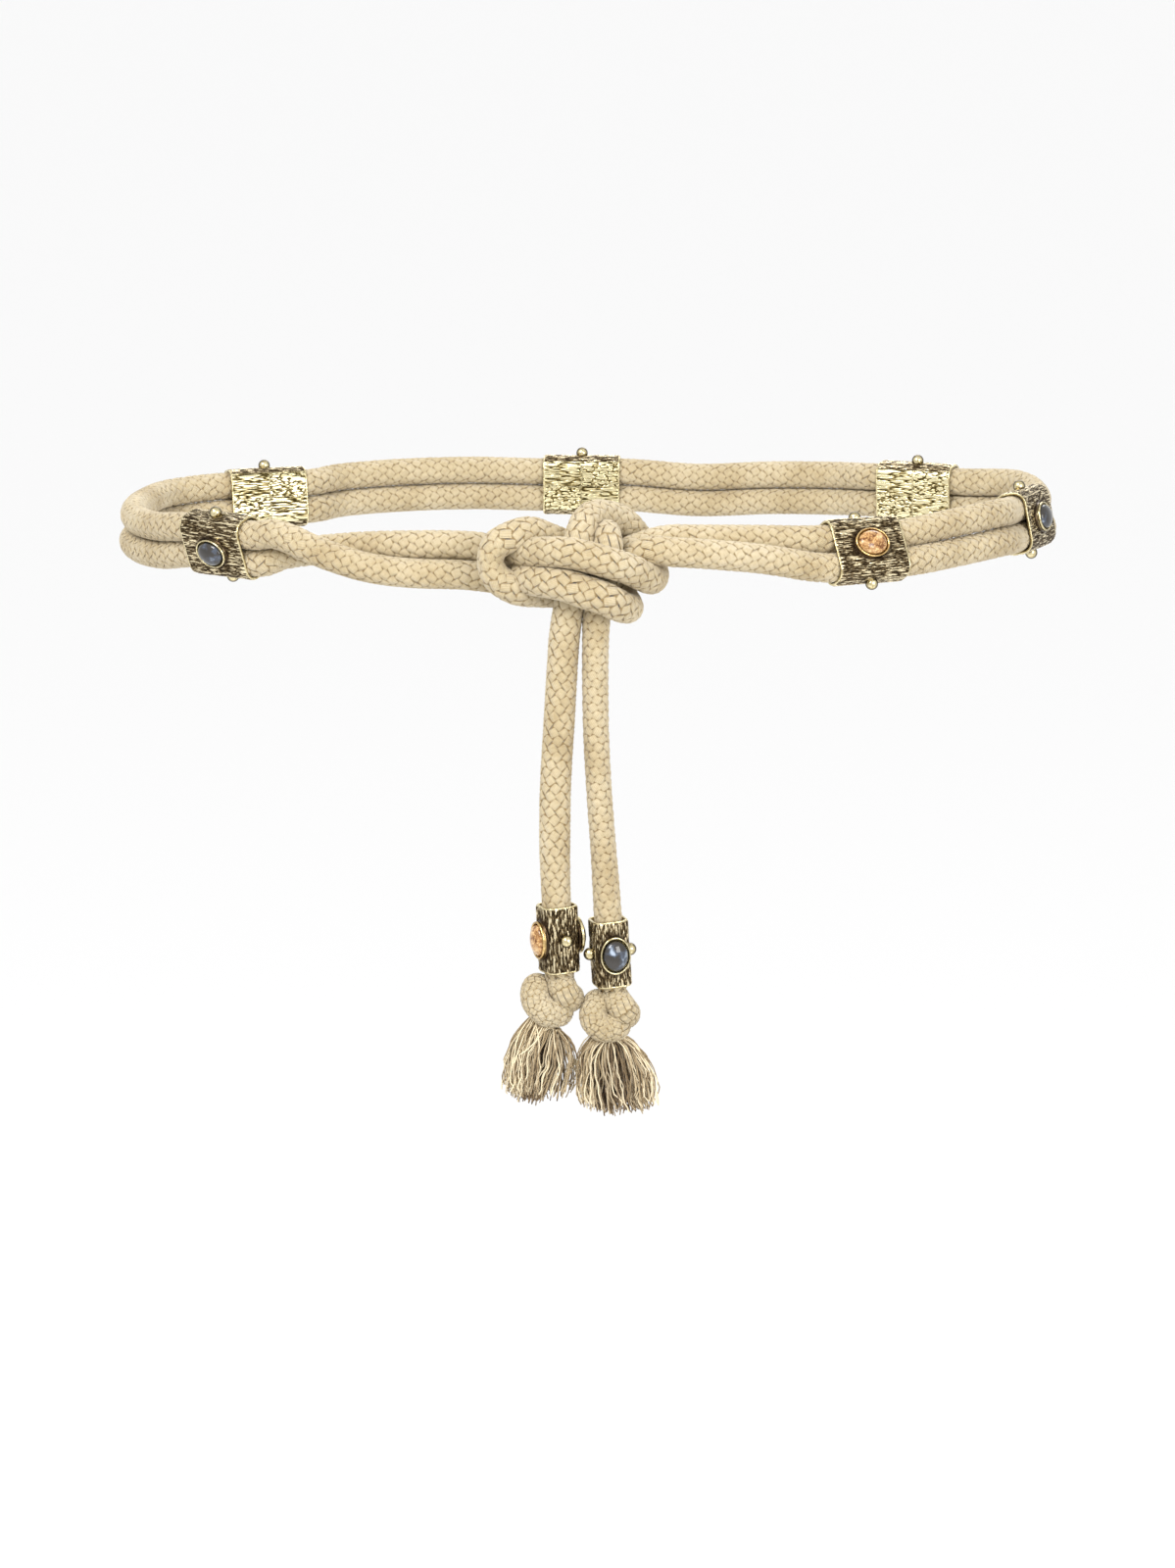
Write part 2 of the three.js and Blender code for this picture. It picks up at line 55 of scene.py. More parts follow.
camera = new_object("camera", bpy.data.cameras.new("camera"))
camera.location = CAMERA_PLACE
camera.rotation_euler = (math.pi / 2 - CAMERA_DOWN, 0, 0)
camera.data.lens = CAMERA_LENS
bpy.context.scene.camera = camera

# The rope's route is one line from the left tail's end up through the knot,
# twice round the waist and down to the right tail's end. Its sizes here are in
# millimetres.
MM = 0.001
PAIR_PITCH = 9.7
RING_HALF_WIDTH = 153
RING_HALF_DEPTH = 101
SLIDE_LENGTH = 26
BACK_SLIDE_LENGTH = 28
# Each row round the waist is its angle on the ring, how high and how far out the
# pair is in its own pitches, how far the upper course is rolled outwards, and
# the slide that sits there with how far it is turned from the ring's own way.
COURSE = [
    (-76, 0.56, 0, -70, "", 0),
    (-68, 0.4, 0, -58, "", 0),
    (-53, 0.17, 0, -30, "front_right", 0),
    (-38, 0.27, 0, -15, "", 0),
    (-24, 0.36, 0, -13, "", 0),
    (-3, 0.16, 0, -12, "side_right", -19),
    (20, 0.32, 1.2, -6, "", 0),
    (38, 0.2, 0, -4, "back_right", 15),
    (53, 0.1, 0, 0, "", 0),
    (63, 0.0, 0, 0, "", 0),
    (74, -0.18, 0, 0, "", 0),
    (90, -0.03, 0, 2, "back_middle", -3),
    (105, 0.08, 0, 0, "", 0),
    (116, 0.08, 0, 1, "", 0),
    (125, 0.0, 0, 3, "", 0),
    (138, -0.08, 0, 9, "back_left", -16),
    (154, -0.15, 1.05, 3, "", 0),
    (165, -0.15, 0.5, 0, "", 0),
    (180, -0.15, 0.12, -4, "", 0),
    (191, -0.2, 0, 3, "", 0),
    (203, -0.1, 0, 9, "", 0),
    (219.5, 0.12, 0, 20, "front_left", 0),
    (229.5, 0.31, 0, 37, "", 0),
    (233, 0.33, 0, 60, "", 0),
    (236, 0.26, 0, 82, "", 0),
    (240, 0.17, 0, 107, "", 0),
    (244, 0.1, 0, 130, "", 0),
    (249, 0.08, 0, 150, "", 0),
    (256, 0.09, 0, 157, "", 0),
]
# The knot's and the tails' rows are right, forward and up from the front of the
# ring, and where it isn't round, the rope's width and depth as shares of its own.
UPPER_STRAND = [
    (-25, -1.5, 4.4),
    (-20, 6, 5),
    (-13, 13.5, 6, 1.03, 1.03),
    (-4.5, 18.5, 6.5, 1.05, 1.05),
    (3, 19, 5, 1.06, 1.06),
    (9.5, 18, 3, 1.06, 1.06),
    (15.5, 14.5, 0.5, 1.05, 1.05),
    (20.5, 7.5, -3, 1.03, 1.03),
    (23, -2.5, -5),
    (23.5, -12, -4),
    (21.5, -18, 0),
    (18, -18.5, 6.5),
    (14, -15, 11.5),
    (9, -10, 14.5),
    (3.5, -2.5, 15.5),
    (0.5, 5, 13),
    (-1, 8.5, 8),
    (-2, 9, -1.5),
    (-4, 9.5, -12, 1.03, 0.98),
]
LOWER_STRAND = [
    (-25, -1.5, -5),
    (-20, 6.2, -3.6, 1.03, 1.03),
    (-13, 14, -3.2, 1.08, 1.08),
    (-4.5, 18.5, -4, 1.12, 1.12),
    (1, 19, -6, 1.13, 1.13),
    (7, 18.5, -8, 1.12, 1.12),
    (11, 15.5, -10.5, 1.1, 1.1),
    (14.5, 7.5, -13, 1.03, 1.03),
    (15, -2.5, -13.5),
    (12.5, -11, -10),
    (10.5, -14, -4),
    (8.5, -11.5, 3.5),
    (8, -4.5, 8.5),
    (8, 2.5, 10),
    (8.5, 8.5, 8),
    (8.5, 9, 3),
    (7, 9, -6.5),
    (5, 9.5, -15, 0.94, 1.03),
]
BIGHT = [
    (29, -8, 7),
    (23.5, -8, 6),
    (18.5, -7, 4.5),
    (13.5, -4, 3),
    (8, -1, 1.5),
    (2, -0.5, 3),
    (-4, 0, 6),
    (-10.5, 2, 9),
    (-16.5, 6.5, 11.5, 1.03, 1.03),
    (-22.5, 10.5, 10.5, 1, 1.05),
    (-27.5, 11, 7.5, 0.92, 1.05),
    (-29, 11, 3, 0.88, 1.05),
    (-27.3, 11, -2.2, 0.92, 1.05),
    (-21.5, 9, -6.5, 1, 1.05),
    (-15, 3.5, -8.5),
    (-8.5, 0, -9),
    (-1, -0.5, -7),
    (6, -0.5, -4),
    (12, 1.5, -0.5),
    (18, 3.5, 3.5),
    (23, 4, 5),
    (28.5, 3, 4.5),
]
LEFT_TAIL = [
    (-5.4, 9.5, -22, 1.05, 0.95),
    (-6.1, 9.5, -32, 1.05, 0.95),
    (-7.2, 9.5, -51, 1.06, 0.94),
    (-8.3, 9.5, -70, 1.06, 0.93),
    (-8.6, 9.5, -90, 1.06, 0.93),
    (-8.3, 9.5, -104, 1, 0.97),
    (-7.6, 9.5, -121, 0.98, 0.98),
    (-7.1, 9.5, -133.3),
]
RIGHT_TAIL = [
    (4.6, 9.7, -23.5, 0.88, 1.05),
    (4.5, 9.5, -32, 0.86, 1.06),
    (4.7, 9.5, -51, 0.84, 1.08),
    (5.6, 9.5, -70, 0.83, 1.08),
    (7, 9.5, -89.5, 0.84, 1.08),
    (8, 9.5, -104, 0.9, 1.03),
    (9.3, 9.5, -125.7, 0.97, 0.97),
    (10.2, 9.5, -138.2),
]


def slide_length(slide):
    return BACK_SLIDE_LENGTH if slide.startswith("back") else SLIDE_LENGTH


def ring_frame(at, rise, out, roll, slide, turn):
    """The pair's middle there, and the ways along the rope, to the waist and to the upper course."""
    a = math.radians(at)
    reach = math.hypot(RING_HALF_WIDTH * math.sin(a), RING_HALF_DEPTH * math.cos(a))
    middle = Vector((RING_HALF_WIDTH * math.cos(a), RING_HALF_DEPTH * math.sin(a), rise * PAIR_PITCH))
    along = Vector((-RING_HALF_WIDTH * math.sin(a), RING_HALF_DEPTH * math.cos(a), 0)) / reach
    up = Vector((0, 0, 1))
    middle += along.cross(up) * out * PAIR_PITCH
    along.rotate(Matrix.Rotation(math.radians(turn), 3, "Z"))
    across = up * math.cos(math.radians(roll)) + along.cross(up) * math.sin(math.radians(roll))
    inward = across.cross(along)
    if slide:
        # A slide is straight, so it sits in from the ring's curve by half of its own bow.
        bend = reach**3 / (RING_HALF_WIDTH * RING_HALF_DEPTH)
        middle += inward * slide_length(slide) ** 2 / (16 * bend)
    return middle, along, inward, across


STRAIGHT_REACH = 0.62  # of a slide's length either way, where the rope runs straight


def course_rows(side):
    """The rows of one course of the pair, side 1 or -1, which runs straight through each slide."""
    rows = []
    for row in COURSE:
        middle, along, _, across = ring_frame(*row)
        slide = row[4]
        for reach in (-STRAIGHT_REACH, 0, STRAIGHT_REACH) if slide else (0,):
            place = middle + along * reach * slide_length(slide) + across * side * PAIR_PITCH / 2
            rows.append((*place, 1, 1))
    return rows


def from_front(rows):
    """The rows in the belt's own frame."""
    return [(right, -RING_HALF_DEPTH - ahead, up, *(own or (1, 1))) for right, ahead, up, *own in rows]


STRETCHES = [
    ("tail_rope_left", from_front(LEFT_TAIL)[::-1]),
    ("upper_strand", from_front(UPPER_STRAND)[::-1]),
    ("waist_rope_lower", course_rows(-1)[::-1]),
    ("bight", from_front(BIGHT)[::-1]),
    ("waist_rope_upper", course_rows(1)),
    ("lower_strand", from_front(LOWER_STRAND)),
    ("tail_rope_right", from_front(RIGHT_TAIL)),
]
LINE_STEP = 0.65  # between two points of a rope's line
CURVE_STEPS = 40  # from one row to the next


def rope_line(rows):
    """A rope's even points on the smooth curve through its rows, in metres: each one's place, its length
    from the start, the two half axes of the rope's section there, and its place among the rows."""
    p = np.array(rows, float)
    p = np.vstack([2 * p[0] - p[1], p, 2 * p[-1] - p[-2]])
    gaps = np.linalg.norm(np.diff(p[:, :3], axis=0), axis=1) ** 0.5
    t = np.linspace(0, 1, CURVE_STEPS, endpoint=False)[:, None]
    fine = []
    for i in range(1, len(p) - 2):
        before, start, end, after = p[i - 1 : i + 3]
        g0, g1, g2 = gaps[i - 1 : i + 2]
        leave = ((start - before) / g0 - (end - before) / (g0 + g1) + (end - start) / g1) * g1
        arrive = ((end - start) / g1 - (after - start) / (g1 + g2) + (after - end) / g2) * g1
        span = end - start
        bend = 3 * span - 2 * leave - arrive
        close = leave + arrive - 2 * span
        cubic = start + leave * t + bend * t**2 + close * t**3
        fine.append(np.hstack([cubic, i - 1 + t]))
    fine = np.vstack([*fine, [[*rows[-1], len(rows) - 1]]])
    lengths = np.concatenate([[0], np.cumsum(np.linalg.norm(np.diff(fine[:, :3], axis=0), axis=1))])
    along = np.arange(0, lengths[-1], LINE_STEP)
    x, y, z, width, depth, row = (np.interp(along, lengths, column) for column in fine.T)
    place = np.column_stack([x, y, z])
    way = np.gradient(place, axis=0)
    way /= np.linalg.norm(way, axis=1)[:, None]
    side = np.array([0.0, -1.0, 0.0])
    sides = []
    for w in way:
        side = side - w * side.dot(w)
        side /= np.linalg.norm(side)
        sides.append(side)
    sides = np.array(sides)
    lifts = np.cross(way, sides)
    for axes in (sides, lifts):
        across_view = axes[:, :1] * [[1, 0, 0]]
        axes *= depth[:, None]
        axes += across_view * (width - depth)[:, None]
    return {"place": place * MM, "along": along * MM, "side": sides, "lift": lifts, "row": row}


def cut(line, start, end):
    """The stretch of a rope's line between two of its rows, and one point on to lap its neighbour."""
    first, last = np.searchsorted(line["row"], (start, end))
    return {key: values[max(first - 1, 0) : last + 1] for key, values in line.items()}


whole_rope = rope_line([row for _, rows in STRETCHES for row in rows])
runs = {}
first = 0
for name, rows in STRETCHES:
    # Neighbouring runs meet halfway between two rows.
    runs[name] = cut(whole_rope, first - 0.5, first + len(rows) - 0.5)
    first += len(rows)


# The rope is a round braid of sixteen flat strands, eight each way, that go over
# and under one another in turn, plaited tight over a core. Each strand is a
# ribbon of fine yarns. The braid goes on unbroken from one run to the next.
def node(tree, kind, inputs=(), **settings):
    """A new node. Its inputs are given by name or number, as a value or as a socket to link."""
    made = tree.nodes.new(kind)
    for name, value in settings.items():
        setattr(made, name, value)
    for key, value in dict(inputs).items():
        if isinstance(value, bpy.types.NodeSocket):
            tree.links.new(value, made.inputs[key])
        else:
            made.inputs[key].default_value = value
    return made


def calc(tree, operation, *values):
    return node(tree, "ShaderNodeMath", enumerate(values), operation=operation).outputs[0]


def times(tree, first, second):
    return calc(tree, "MULTIPLY", first, second)


def plus(tree, first, second):
    return calc(tree, "ADD", first, second)


def minus(tree, first, second):
    return calc(tree, "SUBTRACT", first, second)


def vector(tree, operation, *values):
    return node(tree, "ShaderNodeVectorMath", enumerate(values), operation=operation).outputs[0]


def scaled(tree, value, amount):
    inputs = {"Vector": value, "Scale": amount}
    return node(tree, "ShaderNodeVectorMath", inputs, operation="SCALE").outputs[0]


def xyz(tree, x, y, z):
    return node(tree, "ShaderNodeCombineXYZ", {"X": x, "Y": y, "Z": z}).outputs[0]


def noise(tree, scale, detail=2.0, at=None, rough=0.5, output="Fac"):
    at = at or node(tree, "ShaderNodeTexCoord").outputs["Object"]
    inputs = {"Vector": at, "Scale": scale, "Detail": detail, "Roughness": rough}
    return node(tree, "ShaderNodeTexNoise", inputs).outputs[output]


def geometry_tree(name, sockets):
    """A new tree of geometry nodes with those inputs and a material, and its inputs' outputs by name."""
    tree = bpy.data.node_groups.new(name, "GeometryNodeTree")
    for label, socket in [("Geometry", "Geometry"), *sockets.items(), ("Material", "Material")]:
        tree.interface.new_socket(label, in_out="INPUT", socket_type="NodeSocket" + socket)
    tree.interface.new_socket("Geometry", in_out="OUTPUT", socket_type="NodeSocketGeometry")
    return tree, tree.nodes.new("NodeGroupInput").outputs


def named(tree, name, data_type="FLOAT"):
    return node(tree, "GeometryNodeInputNamedAttribute", {"Name": name}, data_type=data_type).outputs[0]


def store(tree, geometry, name, value, data_type="FLOAT"):
    inputs = {"Geometry": geometry, "Name": name, "Value": value}
    made = node(tree, "GeometryNodeStoreNamedAttribute", inputs, data_type=data_type, domain="POINT")
    return made.outputs[0]


def copies(tree, curve, amount):
    """So many copies of a curve, and each one's number."""
    inputs = {"Geometry": curve, "Amount": amount}
    return node(tree, "GeometryNodeDuplicateElements", inputs, domain="SPLINE").outputs


def circle(tree, points, radius):
    inputs = {"Resolution": points, "Radius": radius}
    return node(tree, "GeometryNodeCurvePrimitiveCircle", inputs).outputs[0]


def swept(tree, curve, profile):
    inputs = {"Curve": curve, "Profile Curve": profile, "Fill Caps": True}
    return node(tree, "GeometryNodeCurveToMesh", inputs).outputs[0]


def facing_out(tree, curve, normal):
    """The curve with its profile's X turned to that way."""
    inputs = {"Curve": curve, "Normal": normal}
    return node(tree, "GeometryNodeSetCurveNormal", inputs, mode="FREE").outputs[0]


def moved(tree, geometry, **places):
    """The geometry with its points at a Position, or moved by an Offset."""
    return node(tree, "GeometryNodeSetPosition", {"Geometry": geometry, **places}).outputs[0]


def finish_tree(tree, geometry, material):
    """Ends a tree in plain geometry of one material."""
    real = node(tree, "GeometryNodeRealizeInstances", {"Geometry": geometry}).outputs[0]
    coated = node(tree, "GeometryNodeSetMaterial", {"Geometry": real, "Material": material}).outputs[0]
    node(tree, "NodeGroupOutput", {"Geometry": coated}, is_active_output=True)


braid, given = geometry_tree(
    "braid",
    {
        "Rope Radius": "Float",
        "Strands Each Way": "Int",
        "Lead": "Float",
        "Strand Width": "Float",
        "Strand Thickness": "Float",
        "Weave Depth": "Float",
        "Unevenness": "Float",
        "Wander": "Float",
        "Seed": "Float",
    },
)
strand_count = times(braid, given["Strands Each Way"], 2)
line = node(braid, "GeometryNodeMeshToCurve", {"Mesh": given["Geometry"]}).outputs[0]
strands, strand = copies(braid, line, strand_count)
way = minus(braid, 1, times(braid, calc(braid, "MODULO", strand, 2), 2))
carrier = calc(braid, "FLOOR", calc(braid, "DIVIDE", strand, 2))
turns = times(braid, way, calc(braid, "DIVIDE", named(braid, "along"), given["Lead"]))
share = calc(braid, "DIVIDE", carrier, given["Strands Each Way"])


def strand_noise(pace, apart, seed):
    """Noise about zero that changes along a strand, at that pace a metre, and from strand to strand."""
    place = xyz(braid, times(braid, named(braid, "along"), pace), times(braid, strand, apart), seed)
    return minus(braid, noise(braid, 1.0, 1.0, place), 0.5)


strayed = calc(braid, "DIVIDE", given["Wander"], given["Rope Radius"])
drift = times(braid, strand_noise(210, 3.1, plus(braid, given["Seed"], 40)), strayed)
angle = plus(braid, times(braid, plus(braid, turns, share), math.tau), drift)
# The strands that a strand has crossed, which it goes over and under in turn. It
# stays over or under one for most of the way across it.
CROSSING_STEEP = 1.6
crossed = plus(braid, times(braid, carrier, 2), times(braid, turns, strand_count))
rising = calc(braid, "COSINE", times(braid, crossed, math.pi))
steep = calc(braid, "MAXIMUM", times(braid, rising, CROSSING_STEEP), -1)
steep = calc(braid, "MINIMUM", steep, 1)
over = times(braid, way, calc(braid, "SINE", times(braid, steep, math.pi / 2)))
outward = vector(
    braid,
    "ADD",
    scaled(braid, named(braid, "side", "FLOAT_VECTOR"), calc(braid, "COSINE", angle)),
    scaled(braid, named(braid, "lift", "FLOAT_VECTOR"), calc(braid, "SINE", angle)),
)
lift_off = times(braid, strand_noise(160, 7.3, given["Seed"]), given["Unevenness"])
top = minus(braid, given["Rope Radius"], calc(braid, "DIVIDE", given["Strand Thickness"], 2))
sunk = times(braid, minus(braid, 1, over), given["Weave Depth"])
radius = plus(braid, minus(braid, top, sunk), lift_off)
placed = moved(braid, strands, Offset=scaled(braid, outward, radius))
placed = store(braid, placed, "over", over)
placed = facing_out(braid, placed, vector(braid, "NORMALIZE", outward))
# A strand's section is a flat ribbon with its narrower side to the outside, as
# shares of the strand's own width and thickness.
RIBBON_LIFT = 0.1
RIBBON_THICK = 0.4
RIBBON_WIDE = 0.43
RIBBON_TAPER = 0.07
spot = node(braid, "ShaderNodeSeparateXYZ", {"Vector": node(braid, "GeometryNodeInputPosition").outputs[0]})
front = plus(braid, spot.outputs[0], spot.outputs[1])
raise_front = plus(braid, RIBBON_LIFT, times(braid, front, RIBBON_THICK))
half_width = minus(braid, RIBBON_WIDE, times(braid, front, RIBBON_TAPER))
aside = times(braid, minus(braid, spot.outputs[1], spot.outputs[0]), half_width)
ribbon_place = xyz(
    braid,
    times(braid, raise_front, given["Strand Thickness"]),
    times(braid, aside, given["Strand Width"]),
    0.0,
)
section = moved(braid, store(braid, circle(braid, 4, 1.0), "across", aside), Position=ribbon_place)
strand_mesh = swept(braid, placed, section)
# The core, which closes the rope behind its strands.
CORE_SINK = 4.6  # of the weave's depth, below the rope's own radius
core_side = vector(braid, "NORMALIZE", named(braid, "side", "FLOAT_VECTOR"))
core_radius = minus(braid, given["Rope Radius"], times(braid, given["Weave Depth"], CORE_SINK))
core_mesh = swept(braid, facing_out(braid, line, core_side), circle(braid, 8, core_radius))
# Its over of -1 and across of 0.5 put the core in the darkest painted shade of the sunk strands and the
# creases.
core_mesh = store(braid, store(braid, core_mesh, "over", -1.0), "across", 0.5)
both = node(braid, "GeometryNodeJoinGeometry")
for part in (core_mesh, strand_mesh):
    braid.links.new(part, both.inputs[0])
finish_tree(braid, both.outputs[0], given["Material"])


def shader(name, metal=0.0, rough=0.5, sockets=()):
    """A new material, its tree and its main shader, with what is the same all over set on the sockets."""
    material = bpy.data.materials.new(name)
    material.use_nodes = True
    tree = material.node_tree
    main = tree.nodes["Principled BSDF"]
    main.inputs["Metallic"].default_value = metal
    main.inputs["Roughness"].default_value = rough
    for key, value in dict(sockets).items():
        main.inputs[key].default_value = value
    return material, tree, main


def ramp(tree, factor, *stops):
    """The colour between the stops, each a place and a linear colour, at that factor."""
    made = node(tree, "ShaderNodeValToRGB", {0: factor})
    elements = made.color_ramp.elements
    for i, (place, color) in enumerate(stops):
        element = elements[i] if i < 2 else elements.new(place)
        element.position = place
        element.color = (*color, 1)
    return made.outputs[0]


def attribute(tree, name, output="Fac"):
    return node(tree, "ShaderNodeAttribute", attribute_name=name).outputs[output]


def blend(tree, factor, first, second, kind="MIX"):
    """The mix of two colours at that factor, each a colour or a socket."""
    made = node(tree, "ShaderNodeMix", data_type="RGBA", blend_type=kind)
    for socket, value in ((made.inputs[0], factor), (made.inputs[6], first), (made.inputs[7], second)):
        if isinstance(value, bpy.types.NodeSocket):
            tree.links.new(value, socket)
        else:
            socket.default_value = value if isinstance(value, float) else (*value, 1)
    return made.outputs[2]


def bumped(tree, main, height, strength, distance):
    """Gives the shader that relief, of a depth in millimetres."""
    inputs = {"Height": height, "Strength": strength, "Distance": distance * MM}
    tree.links.new(node(tree, "ShaderNodeBump", inputs).outputs[0], main.inputs["Normal"])


YARNS_A_STRAND = 6
PLY_TURNS = 9000  # radians a metre, of a yarn's own twist
PLY_SLANT = 40
CREAM = (0.545, 0.45, 0.28)
CREAM_LIGHT = (0.605, 0.515, 0.345)
CREAM_DARK = (0.47, 0.375, 0.218)
CREASE_SHADE = (0.27, 0.2, 0.1)
cotton, tree, main = shader(
    "cotton rope",
    rough=0.92,
    sockets={"Sheen Weight": 0.25, "Specular IOR Level": 0.15},
)
across = attribute(tree, "across")
edge = times(tree, calc(tree, "ABSOLUTE", across), 2)
yarn_wave = calc(tree, "SINE", times(tree, across, YARNS_A_STRAND * math.pi))
yarn_wave = calc(tree, "ABSOLUTE", yarn_wave)
ply = plus(tree, times(tree, attribute(tree, "along"), PLY_TURNS), times(tree, across, PLY_SLANT))
plied = calc(tree, "SINE", ply)
fibre = noise(tree, 900.0, 3.0)
patch = noise(tree, 60.0)
tone = ramp(tree, patch, (0.3, CREAM_DARK), (0.46, CREAM), (0.7, CREAM_LIGHT))
# Painted shade in the grooves between a strand's yarns, and a slight painted highlight on their crowns.
yarn_gap_shade = ramp(tree, yarn_wave, (0.0, (0.34, 0.26, 0.17)), (0.4, (1.06, 1.06, 1.06)))
fleck = ramp(tree, fibre, (0.3, (0.8, 0.74, 0.66)), (0.6, (1, 1, 1)))
colour = blend(tree, 0.5, tone, yarn_gap_shade, "MULTIPLY")
colour = blend(tree, 0.6, colour, fleck, "MULTIPLY")
# Painted shade: each strand darkens towards its edges, in the creases between strands.
crease_shade = ramp(tree, edge, (0.76, (1, 1, 1)), (0.98, CREASE_SHADE))
colour = blend(tree, 0.8, colour, crease_shade, "MULTIPLY")
# Painted shade: a strand darkens where it dips under the strand it crosses.
sunk_shade = ramp(tree, attribute(tree, "over"), (0.0, (0.52, 0.44, 0.31)), (0.4, (1, 1, 1)))
colour = blend(tree, 1.0, colour, sunk_shade, "MULTIPLY")
tree.links.new(colour, main.inputs["Base Color"])
relief = plus(tree, yarn_wave, times(tree, plied, 0.22))
relief = plus(tree, relief, times(tree, fibre, 0.5))
bumped(tree, main, relief, 0.9, 0.2)


def grown(name, mesh, tree, values):
    """A piece of the plain mesh that a node tree grows from a mesh."""
    start = new_object(name, mesh)
    modifier = start.modifiers.new(tree.name, "NODES")
    modifier.node_group = tree
    for socket in tree.interface.items_tree:
        if socket.name in values:
            modifier[socket.identifier] = values[socket.name]
    start.update_tag()
    graph = bpy.context.evaluated_depsgraph_get()
    shown = start.evaluated_get(graph)
    made = bpy.data.meshes.new_from_object(shown, preserve_all_data_layers=True, depsgraph=graph)
    bpy.data.objects.remove(start)
    made.shade_smooth()
    return new_object(name, made)


def settle(piece, slot, *nodes):
    """The piece rides with the belt and stands for those nodes. Its slot is not used."""
    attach(piece, "root")
    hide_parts(*nodes)


def set_values(mesh, key, values):
    """Gives each point of the mesh its number or vector."""
    values = np.asarray(values, np.float32)
    kind, field = ("FLOAT_VECTOR", "vector") if values.ndim > 1 else ("FLOAT", "value")
    mesh.attributes.new(key, kind, "POINT").data.foreach_set(field, values.ravel())


def line_mesh(name, lines):
    """The lines as a mesh of edges that carries their lengths and sections."""
    mesh = bpy.data.meshes.new(name)
    edges, count = [], 0
    for line in lines:
        size = len(line["place"])
        edges += [(count + i, count + i + 1) for i in range(size - 1)]
        count += size
    mesh.from_pydata(np.vstack([line["place"] for line in lines]).tolist(), edges, [])
    for key in ("along", "side", "lift"):
        set_values(mesh, key, np.concatenate([line[key] for line in lines]))
    return mesh


BRAID = {
    "Rope Radius": 4.78 * MM,
    "Strands Each Way": 8,
    "Lead": 64 * LINE_STEP * MM,
    "Strand Width": 3.3 * MM,
    "Strand Thickness": 0.8 * MM,
    "Weave Depth": 0.24 * MM,
    "Unevenness": 0.2 * MM,
    "Wander": 1.1 * MM,
    "Material": cotton,
}


def braided(name, lines, seed, own=()):
    return grown(name, line_mesh(name, lines), braid, {**BRAID, **dict(own), "Seed": seed})


for seed, name in enumerate(("waist_rope_lower", "waist_rope_upper")):
    settle(braided(name + "_braid", [runs[name]], float(seed)), "cotton rope", name)
tail_ropes = {}
for seed, side in enumerate(("left", "right")):
    name = "tail_rope_" + side
    tail_ropes[side] = braided(name + "_braid", [runs[name]], 2.0 + seed)
    settle(tail_ropes[side], "cotton rope", name)

# The knot: both left courses come out through the bight of the right pair, go
# over its front and round its right, and come back over the top to the tails.
# It is pulled tighter than the rest, so its strands lie flatter and more evenly.
PULLED_BRAID = {"Weave Depth": 0.21 * MM, "Unevenness": 0.14 * MM, "Wander": 0.7 * MM}
knot_lines = [runs[name] for name in ("upper_strand", "bight", "lower_strand")]
knot = braided("front_knot_braid", knot_lines, 4.0, PULLED_BRAID)
settle(knot, "cotton rope", "front_knot")

# Each tail ends in a stopper, an overhand knot pulled tight against its sleeve.
# Its rows are right, forward and up from the knot's middle.
LEFT_STOPPER = (-9.3, 9.5, -141.4)
LEFT_STOPPER_STRAND = [
    (2.2, 0, 7.4),
    (2.2, 0, 6.2),
    (4.2, 2.8, 2.3),
    (5.5, 0.6, 0.4),
    (2.5, -4.2, 0),
    (-2.5, -4.2, 1.6),
    (-5.4, 0, 3.4),
    (-5.4, 4, 0),
    (-2.2, 4.6, -3.4),
    (2, 1.6, -4.2),
    (0.5, -3, -3.8),
    (-1.6, -0.8, -5.6),
    (-2, 0, -7.6),
    (-2, 0, -9.2),
]
RIGHT_STOPPER = (9.1, 9.5, -145.9)
RIGHT_STOPPER_STRAND = [
    (1.1, 0, 6.9),
    (1.1, 0, 5.8),
    (4.4, 3, 1.7),
    (5.4, 1, -0.5),
    (2, -3.8, -0.9),
    (-2.2, -4.2, 1.2),
    (-4, -0.2, 2.5),
    (-5, 3.6, -1.1),
    (-2.6, 4.4, -3.9),
    (2, 2.4, -4.4),
    (2, -2.4, -4.1),
    (0.2, -0.8, -5.6),
    (-0.2, 0, -7.2),
    (-0.2, 0, -8.7),
]
# The braid closes up where the rope is drawn so tight.
TIGHT_BRAID = {
    "Strands Each Way": 12,
    "Lead": 60 * LINE_STEP * MM,
    "Strand Width": 2.35 * MM,
    "Strand Thickness": 0.7 * MM,
    "Weave Depth": 0.17 * MM,
    "Unevenness": 0.14 * MM,
    "Wander": 0.5 * MM,
}
end_knots = {}
for side, middle, strand in (
    ("left", LEFT_STOPPER, LEFT_STOPPER_STRAND),
    ("right", RIGHT_STOPPER, RIGHT_STOPPER_STRAND),
):
    rows = from_front([np.add(middle, row) for row in strand])
    seed = 5.0 + len(end_knots)
    end_knots[side] = braided("end_knot_" + side + "_braid", [rope_line(rows)], seed, TIGHT_BRAID)
    settle(end_knots[side], "cotton rope", "end_knot_" + side)

# Below each stopper the rope is unlaid into its own fine yarns, a full brush
# that spreads from the knot's width, with wavy yarns of uneven length.
fringe, given = geometry_tree(
    "fringe",
    {
        "Yarns": "Int",
        "Length": "Float",
        "Root Radius": "Float",
        "Spread Right": "Float",
        "Spread Back": "Float",
        "Lean": "Float",
        "Root Tilt": "Float",
        "Yarn Radius": "Float",
        "Wave": "Float",
        "Seed": "Int",
    },
)


def random(tree, low, high, identity, seed):
    made = node(tree, "FunctionNodeRandomValue", data_type="FLOAT")
    for key, value in (("Min_001", low), ("Max_001", high), ("ID", identity), ("Seed", seed)):
        socket = next(s for s in made.inputs if s.identifier == key)
        if isinstance(value, bpy.types.NodeSocket):
            tree.links.new(value, socket)
        else:
            socket.default_value = value
    return next(s for s in made.outputs if s.identifier == "Value_001")


